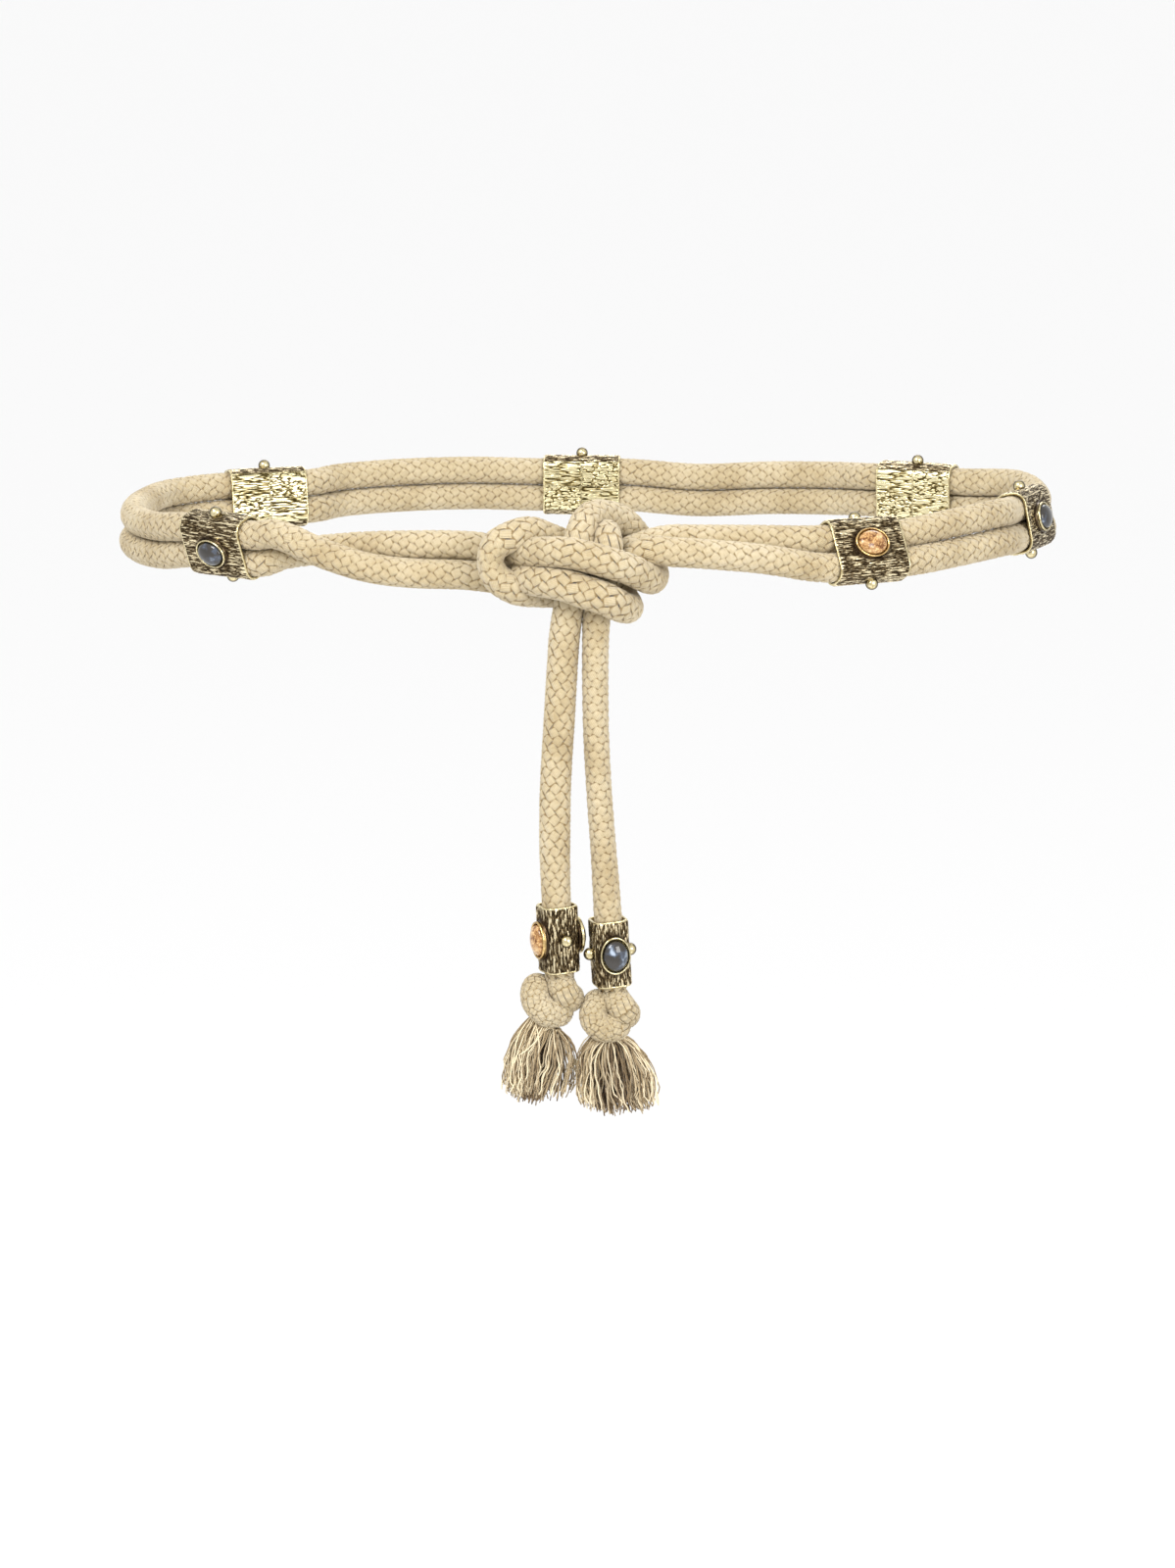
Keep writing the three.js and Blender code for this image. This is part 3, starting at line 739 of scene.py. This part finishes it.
YARN_POINTS = 15
yarn_ends = {"Start": (0, 0, 0), "End": (0, 0, -1)}
plain_yarn = node(fringe, "GeometryNodeCurvePrimitiveLine", yarn_ends).outputs[0]
plain_yarn = node(fringe, "GeometryNodeResampleCurve", {"Curve": plain_yarn, "Count": YARN_POINTS}).outputs[0]
yarns, yarn = copies(fringe, plain_yarn, given["Yarns"])


def drawn(low, high, offset):
    """A random number for each yarn."""
    return random(fringe, low, high, yarn, plus(fringe, given["Seed"], offset))


turn = drawn(0.0, math.tau, 1)
turn_right = calc(fringe, "COSINE", turn)
turn_back = calc(fringe, "SINE", turn)
out = calc(fringe, "SQRT", drawn(0.02, 1.0, 2))
# Whole locks sweep to a side together, and each yarn then strays from its lock.
LOCK_SWEEP = 3.2  # radians
YARN_STRAY = 0.45
sweep = noise(fringe, 1.2, 0.0, xyz(fringe, turn_right, turn_back, plus(fringe, given["Seed"], 31)))
sweep = times(fringe, minus(fringe, sweep, 0.5), LOCK_SWEEP)
tip_turn = plus(fringe, plus(fringe, turn, sweep), drawn(-YARN_STRAY, YARN_STRAY, 3))
tip_out = times(fringe, out, drawn(0.8, 1.06, 4))
down = node(fringe, "GeometryNodeSplineParameter").outputs[0]
# The brush opens quickly below the knot and then hangs nearly straight.
OPENING_POWER = 3.6
opening = minus(fringe, 1, calc(fringe, "POWER", minus(fringe, 1, down), OPENING_POWER))
clump_place = xyz(
    fringe,
    times(fringe, turn_right, 1.6),
    times(fringe, turn_back, 1.6),
    plus(fringe, times(fringe, down, 1.3), given["Seed"]),
)
clump = noise(fringe, 1.4, 1.0, clump_place, output="Color")
stray_place = xyz(fringe, times(fringe, yarn, 3.7), times(fringe, down, 2.6), given["Seed"])
stray = noise(fringe, 1.0, 1.5, stray_place, output="Color")
half = (0.5, 0.5, 0.5)
sway = vector(
    fringe,
    "ADD",
    scaled(fringe, vector(fringe, "SUBTRACT", clump, half), 1.3),
    vector(fringe, "SUBTRACT", stray, half),
)
sway = scaled(fringe, sway, times(fringe, given["Wave"], calc(fringe, "SQRT", down)))


def spread(root_way, tip_way, reach):
    """How far a yarn lies to a side at that share of its length."""
    root = times(fringe, times(fringe, root_way, out), given["Root Radius"])
    tip = times(fringe, times(fringe, tip_way, tip_out), reach)
    return plus(fringe, root, times(fringe, minus(fringe, tip, root), opening))


right = spread(turn_right, calc(fringe, "COSINE", tip_turn), given["Spread Right"])
right = plus(fringe, right, times(fringe, given["Lean"], down))
back = spread(turn_back, calc(fringe, "SINE", tip_turn), given["Spread Back"])
# The outer yarns end a little higher, and no two are cut alike.
ROUNDED_END = 0.13
rounded = minus(fringe, 1, times(fringe, times(fringe, out, out), ROUNDED_END))
own_length = times(fringe, given["Length"], times(fringe, rounded, drawn(0.86, 1.0, 5)))
hang = times(fringe, own_length, times(fringe, down, -1))
# The roots may lie higher on the left, where the knot leaves room.
root_right = times(fringe, times(fringe, turn_right, out), given["Root Radius"])
raised = times(fringe, times(fringe, root_right, given["Root Tilt"]), -1)
hang = plus(fringe, hang, times(fringe, raised, minus(fringe, 1, down)))
yarn_place = vector(fringe, "ADD", xyz(fringe, right, back, hang), sway)
yarn_line = moved(fringe, yarns, Position=yarn_place)
yarn_line = store(fringe, yarn_line, "inside", minus(fringe, 1, out))
yarn_line = store(fringe, yarn_line, "down", down)
yarn_line = store(fringe, yarn_line, "draw", drawn(0.0, 1.0, 6))
threads = swept(fringe, yarn_line, circle(fringe, 4, given["Yarn Radius"]))
finish_tree(fringe, threads, given["Material"])

yarn_cotton, tree, main = shader(
    "tassel yarn",
    rough=0.85,
    sockets={"Sheen Weight": 0.2, "Specular IOR Level": 0.2},
)
# Each yarn draws its own tone, a little lighter towards its tip; the dark brown end of that spread is painted
# shade between the yarns.
shade = plus(tree, attribute(tree, "draw"), times(tree, noise(tree, 220.0), 0.5))
shade = plus(tree, shade, times(tree, attribute(tree, "down"), 0.12))
colour = ramp(tree, shade, (0.25, (0.17, 0.11, 0.055)), (0.62, (0.42, 0.32, 0.18)), (1.0, (0.78, 0.67, 0.46)))
# Painted shade: the yarns inside the brush are darkened.
inner_yarn_shade = ramp(tree, attribute(tree, "inside"), (0.05, (1, 1, 1)), (0.36, (0.2, 0.13, 0.065)))
colour = blend(tree, 0.85, colour, inner_yarn_shade, "MULTIPLY")
tree.links.new(colour, main.inputs["Base Color"])
bumped(tree, main, noise(tree, 1500.0), 0.3, 0.1)

TASSEL = {
    "Yarns": 600,
    "Length": 26.5 * MM,
    "Root Radius": 4.8 * MM,
    "Spread Back": 8.6 * MM,
    "Yarn Radius": 0.21 * MM,
    "Wave": 5.5 * MM,
    "Material": yarn_cotton,
}
ROOT_LAP = 1.2  # of the yarns' roots into the knot above them
for side, middle, strand, lean, spread_right, tilt, seed in (
    ("left", LEFT_STOPPER, LEFT_STOPPER_STRAND, -2.4, 12.4, 0.55, 11),
    ("right", RIGHT_STOPPER, RIGHT_STOPPER_STRAND, 3.2, 12.6, 0.1, 23),
):
    own = {"Lean": lean * MM, "Spread Right": spread_right * MM, "Root Tilt": tilt, "Seed": seed}
    tassel = grown("tassel_" + side + "_yarns", bpy.data.meshes.new("yarns"), fringe, {**TASSEL, **own})
    (neck,) = from_front([np.add(middle, strand[-1])])
    tassel.data.transform(Matrix.Translation(Vector(neck[:3]) * MM + Vector((0, 0, ROOT_LAP * MM))))
    settle(tassel, "tassel yarn", "tassel_" + side)

# Six cast slides sit on the pair of ropes. Each is a thin sleeve of antiqued
# brass, cast with a bark of ridges that run along the rope and with a plain
# bright lip at each mouth, and has an oval cup and two balls soldered on.
bark, given = geometry_tree(
    "cast bark",
    {"Ridge Pitch": "Float", "Ridge Height": "Float", "Stretch": "Float", "Seed": "Float"},
)
spot = node(bark, "ShaderNodeSeparateXYZ", {"Vector": node(bark, "GeometryNodeInputPosition").outputs[0]})
bright = named(bark, "bright")


# The rubbed side was cut in four, each quarter with a bark of its own, and the
# seams between them wander.
def wander(along, amount):
    bend = noise(bark, 0.7, at=xyz(bark, along, 0.0, given["Seed"]))
    return times(bark, minus(bark, bend, 0.5), amount)


ahead = calc(bark, "GREATER_THAN", plus(bark, spot.outputs[0], wander(spot.outputs[2], 2.5)), 0)
above = calc(bark, "GREATER_THAN", plus(bark, spot.outputs[2], wander(spot.outputs[0], 3.5)), 0)
quarter = times(bark, bright, plus(bark, times(bark, ahead, 5.3), times(bark, above, 9.1)))
crackled = times(bark, bright, calc(bark, "ABSOLUTE", minus(bark, ahead, above)))
stretch = times(bark, given["Stretch"], minus(bark, 1, times(bark, crackled, 0.6)))
fineness = minus(bark, 0.5, times(bark, bright, 0.15))
grain_place = scaled(
    bark,
    xyz(bark, calc(bark, "DIVIDE", spot.outputs[0], stretch), spot.outputs[1], spot.outputs[2]),
    calc(bark, "DIVIDE", fineness, given["Ridge Pitch"]),
)
grain_shift = plus(bark, times(bark, given["Seed"], 7.7), quarter)
grain_place = vector(bark, "ADD", grain_place, xyz(bark, grain_shift, 0.0, 0.0))


def bark_ridge(tree, place, bright):
    """How high the bark stands there, 0 to 1. The noise's middle level gives the
    grooves, which wind and break off."""
    detail = minus(tree, 3, times(tree, bright, 1.7))
    steep = plus(tree, 9, bright)
    grain = noise(tree, 1.0, detail, place, 0.6)
    groove = times(tree, calc(tree, "ABSOLUTE", minus(tree, grain, 0.5)), steep)
    return calc(tree, "POWER", calc(tree, "MINIMUM", groove, 1), 0.7)


ridge = bark_ridge(bark, grain_place, bright)
height = times(bark, given["Ridge Height"], minus(bark, 1, times(bark, bright, 0.4)))
pushed = times(bark, times(bark, named(bark, "rough"), ridge), height)
grained = store(bark, given["Geometry"], "grain_place", grain_place, "FLOAT_VECTOR")
cast = moved(bark, grained, Offset=scaled(bark, named(bark, "out", "FLOAT_VECTOR"), pushed))
finish_tree(bark, cast, given["Material"])

# The brass is black-brown in the hollows and olive on the ridges, with painted
# glints on the highest crests. The side next to the waist is rubbed to a pale
# gold, and the balls are polished like beads, with a painted dark reflection
# round their edges. Painted shade darkens the feet of the cups and balls and
# the wall round each cup.
brass, tree, main = shader("antique brass", metal=1.0, rough=0.3)
bright = attribute(tree, "bright")
ridge = bark_ridge(tree, attribute(tree, "grain_place", "Vector"), bright)
rough = attribute(tree, "rough")
raised = minus(tree, 1, times(tree, rough, minus(tree, 1, ridge)))
pitted = noise(tree, 1500.0, 3.0)
level = plus(tree, raised, times(tree, minus(tree, pitted, 0.5), 0.5))
# Patina darkens the hollows; the ramp's last stop is painted glints on the highest crests.
patina_and_glints = ramp(
    tree,
    level,
    (0.3, (0.028, 0.018, 0.009)),
    (0.6, (0.13, 0.092, 0.045)),
    (0.88, (0.34, 0.26, 0.145)),
    (0.98, (0.82, 0.71, 0.47)),
)
rubbed = ramp(tree, level, (0.3, (0.05, 0.035, 0.01)), (0.6, (0.36, 0.28, 0.12)), (0.95, (0.84, 0.76, 0.48)))
plain = ramp(tree, pitted, (0.3, (0.4, 0.32, 0.15)), (0.6, (0.76, 0.67, 0.42)))
copper = blend(tree, attribute(tree, "copper"), (1.0, 1.0, 1.0), (1.0, 0.8, 0.58))
plain = blend(tree, 1.0, plain, copper, "MULTIPLY")
colour = blend(tree, bright, patina_and_glints, rubbed)
colour = blend(tree, rough, plain, colour)
# Painted dark reflection: the balls, and the cups a little, darken towards their edges.
facing = node(tree, "ShaderNodeLayerWeight", {"Blend": 0.5}).outputs["Facing"]
painted_rim_reflection = ramp(tree, facing, (0.22, (1, 1, 1)), (0.55, (0.1, 0.08, 0.05)))
with_rim_reflection = blend(tree, 1.0, colour, painted_rim_reflection, "MULTIPLY")
colour = blend(tree, attribute(tree, "rim_reflection_weight"), colour, with_rim_reflection)
# Painted shade at the feet of the cups and balls and on the wall round each cup.
colour = blend(tree, attribute(tree, "recess_shade"), colour, (0.05, 0.032, 0.018))
tree.links.new(colour, main.inputs["Base Color"])
matt = ramp(tree, level, (0.2, (0.75, 0.75, 0.75)), (0.9, (0.26, 0.26, 0.26)))
tree.links.new(matt, main.inputs["Roughness"])
relief = plus(tree, raised, times(tree, noise(tree, 1100.0, 3.0), 0.3))
bumped(tree, main, relief, 0.6, 0.25)

SLEEVE_WALL = 0.6
BORE_DEPTH = 10.0
PAIR_BORE_HEIGHT = 19.7
SLIDE_CORNER = 3.6
SKIN_STEP = 0.25
ROW_STEP = 0.5
BORE_ROWS_IN = 4  # from a mouth
LIP = 0.4
# The rows over a lip, each how far in from the mouth, how far out from the wall,
# and how much bark it carries.
LIP_ROWS = [
    (0.15, -SLEEVE_WALL, 0),
    (0, -0.5, 0),
    (0, 0.0, 0),
    (0.1, 0.12, 0),
    (0.25, 0.14, 0),
    (LIP, 0.04, 0.3),
]
BEZEL_RADIUS = 5.3
BEZEL_STRETCH = 12.5 / 10.2
RECESS_SHADE_REACH = 1.22  # of the bezel's radius, to where the painted shade round the cup fades out
RECESS_SHADE_FADE = 0.2


def grid_mesh(name, rings, attributes, closed_ends=False):
    """A mesh of rings of points joined in order. The last ring joins the first, or the ends are closed."""
    count, around = len(rings), len(rings[0])
    faces = []
    for i in range(count - closed_ends):
        for j in range(around):
            k = (j + 1) % around
            n = (i + 1) % count
            faces.append((i * around + j, i * around + k, n * around + k, n * around + j))
    if closed_ends:
        faces.append(tuple(range(around))[::-1])
        faces.append(tuple((count - 1) * around + j for j in range(around)))
    mesh = bpy.data.meshes.new(name)
    mesh.from_pydata(np.vstack(rings).tolist(), [], faces)
    for key, values in attributes.items():
        set_values(mesh, key, values)
    return mesh


def outline(depth, height, corner, count):
    """Even points round a rectangle with round corners, and their outward ways."""
    y, z = depth / 2 - corner, height / 2 - corner
    places, ways = [], []
    for side, (cy, cz) in enumerate(((y, -z), (y, z), (-y, z), (-y, -z))):
        for k in range(33):
            a = math.radians(-90 + 90 * side + 90 * k / 32)
            places.append((cy + corner * math.cos(a), cz + corner * math.sin(a)))
            ways.append((math.cos(a), math.sin(a)))
    places, ways = np.array(places + places[:1]), np.array(ways + ways[:1])
    lengths = np.concatenate([[0], np.cumsum(np.linalg.norm(np.diff(places, axis=0), axis=1))])
    even = np.linspace(0, lengths[-1], count, endpoint=False)
    place = np.column_stack([np.interp(even, lengths, column) for column in places.T])
    way = np.column_stack([np.interp(even, lengths, column) for column in ways.T])
    return place, way / np.linalg.norm(way, axis=1)[:, None]


def sleeve_mesh(name, length, bore_height, corner, stones, rubbed):
    """A sleeve's wall in millimetres, X along the rope: its bark, its lips and its bore."""
    around = 2 * (BORE_DEPTH + bore_height) + 8 * SLEEVE_WALL - (8 - math.tau) * (corner + SLEEVE_WALL)
    size = (BORE_DEPTH + 2 * SLEEVE_WALL, bore_height + 2 * SLEEVE_WALL, corner + SLEEVE_WALL)
    place, way = outline(*size, round(around / SKIN_STEP))
    half = length / 2
    rows = [(-half + inside, inset, rough) for inside, inset, rough in LIP_ROWS]
    skin_half = half - LIP - 0.2
    skin = np.linspace(-skin_half, skin_half, round((length - 2 * LIP) / ROW_STEP))
    rows += [(x, 0.0, 1) for x in skin]
    rows += [(half - inside, inset, rough) for inside, inset, rough in LIP_ROWS[::-1]]
    rows += [(x, -SLEEVE_WALL, 0) for x in np.linspace(half - BORE_ROWS_IN, BORE_ROWS_IN - half, 5)]
    faces = [math.cos(math.radians(turn)) for turn, _ in stones]
    rings, rough, out, bright, recess_shade = [], [], [], [], []
    for x, inset, weight in rows:
        yz = place + way * inset
        rings.append(np.column_stack([np.full(len(yz), x), yz]))
        rough += [weight] * len(yz)
        out.append(np.column_stack([np.zeros(len(yz)), way]))
        bright.append((way[:, 0] > 0.8) * float(rubbed))
        # Painted shade on the wall round the foot of each cup.
        far = np.hypot(x / BEZEL_STRETCH, yz[:, 1]) / BEZEL_RADIUS
        on_face = sum((way[:, 0] * face > 0.9).astype(float) for face in faces)
        bezel_shade = np.clip((RECESS_SHADE_REACH - far) / RECESS_SHADE_FADE, 0, 0.85)
        recess_shade.append(bezel_shade * on_face * (weight > 0))
    bright, recess_shade = np.concatenate(bright), np.concatenate(recess_shade)
    looks = {"rough": rough, "out": np.vstack(out), "bright": bright, "recess_shade": recess_shade}
    plain = {"rim_reflection_weight": np.zeros(len(rough)), "copper": np.zeros(len(rough))}
    return grid_mesh(name, rings, {**looks, **plain})


def turned_mesh(name, profile, around, stretch=1.0, rim_reflection_weight=0.0, copper=0.0, shaded_collar=0):
    """A solid turned from rows of radius and height above a wall, standing on Y and stretched along X.
    Its first rows, where it meets the wall, may be painted dark as shade."""
    a = np.linspace(0, math.tau, around, endpoint=False)
    right, down = stretch * np.cos(a), -np.sin(a)
    rings = [np.column_stack([r * right, np.full(around, h), r * down]) for r, h in profile]
    size = len(rings) * around
    recess_shade = np.repeat([float(i < shaded_collar) for i in range(len(rings))], around)
    looks = {"rim_reflection_weight": [rim_reflection_weight] * size, "copper": [copper] * size, "recess_shade": recess_shade}
    plain = {"rough": np.zeros(size), "bright": np.zeros(size), "out": np.zeros((size, 3))}
    return grid_mesh(name, rings, {**looks, **plain}, closed_ends=True)


BEZEL_PROFILE = [
    (4.4, -0.3),
    (5.2, -0.3),
    (5.3, 0.2),
    (5.2, 0.5),
    (4.98, 0.72),
    (4.95, 1.1),
    (5.06, 1.3),
    (5.1, 1.6),
    (5.02, 1.88),
    (4.86, 2.0),
    (4.7, 1.97),
    (4.56, 1.8),
    (4.42, 1.4),
    (4.42, 0.55),
]

BALL_RADIUS = 2.1
BALL_SEAT = 1.18


def ball_profile():
    """A ball on its foot of solder."""
    rows = [(1.0, -0.4), (1.75, -0.3), (1.75, 0.25), (1.5, 0.4)]
    for k in range(17):
        a = math.radians(-52 + (140 * k) / 16)
        rows.append((BALL_RADIUS * math.cos(a), BALL_SEAT + BALL_RADIUS * math.sin(a)))
    return rows


def on_wall(mesh, distance, turn):
    """Moves a mesh that stands on Y out to a wall and turns it round X."""
    mesh.transform(Matrix.Rotation(math.radians(turn), 4, "X") @ Matrix.Translation((0, distance, 0)))
    return mesh


def joined_mesh(name, meshes):
    """One mesh of several, with their point attributes."""
    pieces = [new_object(name, mesh) for mesh in meshes]
    with bpy.context.temp_override(active_object=pieces[0], selected_editable_objects=pieces):
        bpy.ops.object.join()
    mesh = pieces[0].data
    bpy.data.objects.remove(pieces[0])
    return mesh


def frame_matrix(middle, along, face, across):
    """The move from a slide's own millimetres to its place on the belt."""
    turn = Matrix((along, face, across)).transposed().to_4x4()
    return Matrix.Diagonal((MM, MM, MM, 1)) @ Matrix.Translation(middle) @ turn


BARK = {"Ridge Height": 0.38, "Material": brass}


def cast_piece(name, length, bore_height, corner, stones, rubbed, grain, place):
    """A sleeve with its bezels and its two balls."""
    wall_y = BORE_DEPTH / 2 + SLEEVE_WALL
    wall_z = bore_height / 2 + SLEEVE_WALL
    parts = [sleeve_mesh(name, length, bore_height, corner, stones, rubbed)]
    for turn, colour in stones:
        looks = {"rim_reflection_weight": 0.35, "copper": float(colour == "orange"), "shaded_collar": 5}
        bezel = turned_mesh(name, BEZEL_PROFILE, 64, BEZEL_STRETCH, **looks)
        parts.append(on_wall(bezel, wall_y, turn))
    for turn in (90, -90):
        ball = turned_mesh(name, ball_profile(), 32, rim_reflection_weight=1.0, shaded_collar=4)
        parts.append(on_wall(ball, wall_z, turn))
    piece = grown(name, joined_mesh(name, parts), bark, {**BARK, **grain})
    piece.data.transform(place)
    return piece


SLIDE_STONES = {
    "front_right": "orange",
    "side_right": "blue",
    "back_right": "orange",
    "back_middle": "blue",
    "back_left": "orange",
    "front_left": "blue",
}
slide_places = {}
for row in COURSE:
    slide = row[4]
    if slide:
        middle, along, inward, across = ring_frame(*row)
        place = frame_matrix(middle, along, inward, across)
        slide_places[slide] = place
        grain = {"Ridge Pitch": 0.34, "Stretch": 8.0, "Seed": float(len(slide_places))}
        stones = [(180, SLIDE_STONES[slide])]
        name = "slide_" + slide
        size = (slide_length(slide), PAIR_BORE_HEIGHT, SLIDE_CORNER)
        piece = cast_piece(name + "_cast", *size, stones, True, grain, place)
        settle(piece, "antique brass", name)

# The sleeves on the tails are the same casting, square and for one rope, with a
# cup on two opposite faces and a ball on the other two.
TAIL_SLEEVE_LENGTH = 22
TAIL_SLEEVE_CORNER = 2.4
TAIL_SLEEVES = {"left": (LEFT_TAIL, -65, ("orange", "blue")), "right": (RIGHT_TAIL, 15, ("blue", "orange"))}
tail_places = {}
for side, (rows, turn, colours) in TAIL_SLEEVES.items():
    above, middle, below = (Vector(row[:3]) for row in from_front(rows[-3:]))
    down = (below - above).normalized()
    face = Vector((math.sin(math.radians(turn)), -math.cos(math.radians(turn)), 0))
    face = (face - down * face.dot(down)).normalized()
    place = frame_matrix(middle, down, face, down.cross(face))
    tail_places[side] = place
    grain = {"Ridge Pitch": 0.48, "Stretch": 5.5, "Seed": 10.0 + len(tail_places)}
    name = "tail_sleeve_" + side
    stones = list(zip((0, 180), colours))
    size = (TAIL_SLEEVE_LENGTH, BORE_DEPTH, TAIL_SLEEVE_CORNER)
    piece = cast_piece(name + "_cast", *size, stones, False, grain, place)
    settle(piece, "antique brass", name)

# The stones are polished oval domes: orange ones full of copper glitter, and
# dark blue-grey ones with a blue sheen that comes and goes across them.
orange, tree, main = shader(
    "orange stone",
    rough=0.3,
    sockets={"Specular IOR Level": 0.15, "Coat Weight": 0.6, "Coat Roughness": 0.03},
)
object_place = node(tree, "ShaderNodeTexCoord").outputs["Object"]
flake = node(tree, "ShaderNodeTexVoronoi", {"Vector": object_place, "Scale": 1500.0})
glint = ramp(
    tree,
    flake.outputs["Distance"],
    (0.0, (1.0, 0.8, 0.42)),
    (0.3, (0.54, 0.3, 0.1)),
    (0.6, (0.14, 0.045, 0.01)),
)
cloud = ramp(
    tree,
    noise(tree, 520.0, 4.0),
    (0.4, (0.12, 0.045, 0.012)),
    (0.5, (0.5, 0.27, 0.1)),
    (0.62, (0.82, 0.58, 0.3)),
)
tree.links.new(blend(tree, 0.5, glint, cloud), main.inputs["Base Color"])

blue, tree, main = shader(
    "blue-grey stone",
    rough=0.3,
    sockets={"Specular IOR Level": 0.15, "Coat Weight": 0.8, "Coat Roughness": 0.02},
)
sheen = ramp(
    tree,
    noise(tree, 260.0, 3.0),
    (0.5, (0.03, 0.026, 0.022)),
    (0.6, (0.06, 0.073, 0.1)),
    (0.7, (0.34, 0.4, 0.48)),
)
# Painted shade: the dome darkens towards its edges as it turns away.
facing = node(tree, "ShaderNodeLayerWeight", {"Blend": 0.4}).outputs["Facing"]
painted_edge_shade = ramp(tree, facing, (0.1, (1, 1, 1)), (0.5, (0.3, 0.28, 0.26)))
tree.links.new(blend(tree, 1.0, sheen, painted_edge_shade, "MULTIPLY"), main.inputs["Base Color"])

STONE_FINISH = {"orange": (orange, "orange stone"), "blue": (blue, "blue-grey stone")}

STONE_RADIUS = 4.1
DOME_FOOT = 1.6
DOME_HEIGHT = 2.2


def stone_mesh(name):
    rows = [(3.6, 0.85), (STONE_RADIUS, 0.95), (STONE_RADIUS, 1.5)]
    for k in range(17):
        a = math.radians(88.5 * k / 16)
        rows.append((STONE_RADIUS * math.cos(a), DOME_FOOT + DOME_HEIGHT * math.sin(a)))
    return turned_mesh(name, rows, 64, BEZEL_STRETCH)


def set_stone(node_name, colour, place, turn):
    mesh = on_wall(stone_mesh(node_name + "_dome"), BORE_DEPTH / 2 + SLEEVE_WALL, turn)
    mesh.transform(place)
    mesh.shade_smooth()
    finish, slot = STONE_FINISH[colour]
    mesh.materials.append(finish)
    piece = new_object(node_name + "_dome", mesh)
    settle(piece, slot, node_name)
    return piece


for slide, place in slide_places.items():
    set_stone("stone_" + slide, SLIDE_STONES[slide], place, 180)

# The tails are the belt's free ends, hanging from the knot's foot. Each tail's
# sleeve gets its two stones, one on its front and one on its back.
for side, (_, _, colours) in TAIL_SLEEVES.items():
    stones = []
    for colour, face, turn in zip(colours, ("front", "back"), (0, 180)):
        stones.append(set_stone(f"tail_stone_{side}_{face}", colour, tail_places[side], turn))

# A plain pale floor a waist's height below the belt, and soft studio light from
# large lamps above, in front and to the sides.
FLOOR_DROP = 0.95
FLOOR_REACH = 60
corners = [(x * FLOOR_REACH, y * FLOOR_REACH, -FLOOR_DROP) for x, y in ((-1, -1), (1, -1), (1, 1), (-1, 1))]
floor_mesh = bpy.data.meshes.new("floor")
floor_mesh.from_pydata(corners, [], [(0, 1, 2, 3)])
floor = new_object("floor", floor_mesh)
pale, tree, main = shader("pale floor", rough=0.9)
main.inputs["Base Color"].default_value = (0.95, 0.95, 0.95, 1)
floor_mesh.materials.append(pale)

world = bpy.data.worlds.new("studio")
world.use_nodes = True
world.node_tree.nodes["Background"].inputs["Color"].default_value = (1, 1, 1, 1)
world.node_tree.nodes["Background"].inputs["Strength"].default_value = 1.0
bpy.context.scene.world = world


def lamp(name, place, aim, size, power):
    data = bpy.data.lights.new(name, "AREA")
    data.shape = "RECTANGLE"
    data.size, data.size_y = size
    data.energy = power
    made = new_object(name, data)
    made.location = place
    made.rotation_euler = (Vector(aim) - Vector(place)).to_track_quat("-Z", "Y").to_euler()


lamp("key lamp", (-0.7, -1.1, 1.1), (0, 0, 0), (0.7, 0.7), 22)
lamp("fill lamp", (0.9, -1.3, 0.4), (0, 0, 0), (0.6, 0.8), 14)
lamp("back lamp", (0.2, 1.2, 1.0), (0, 0, 0), (1.2, 0.5), 10)
bpy.context.scene.view_settings.view_transform = "Standard"
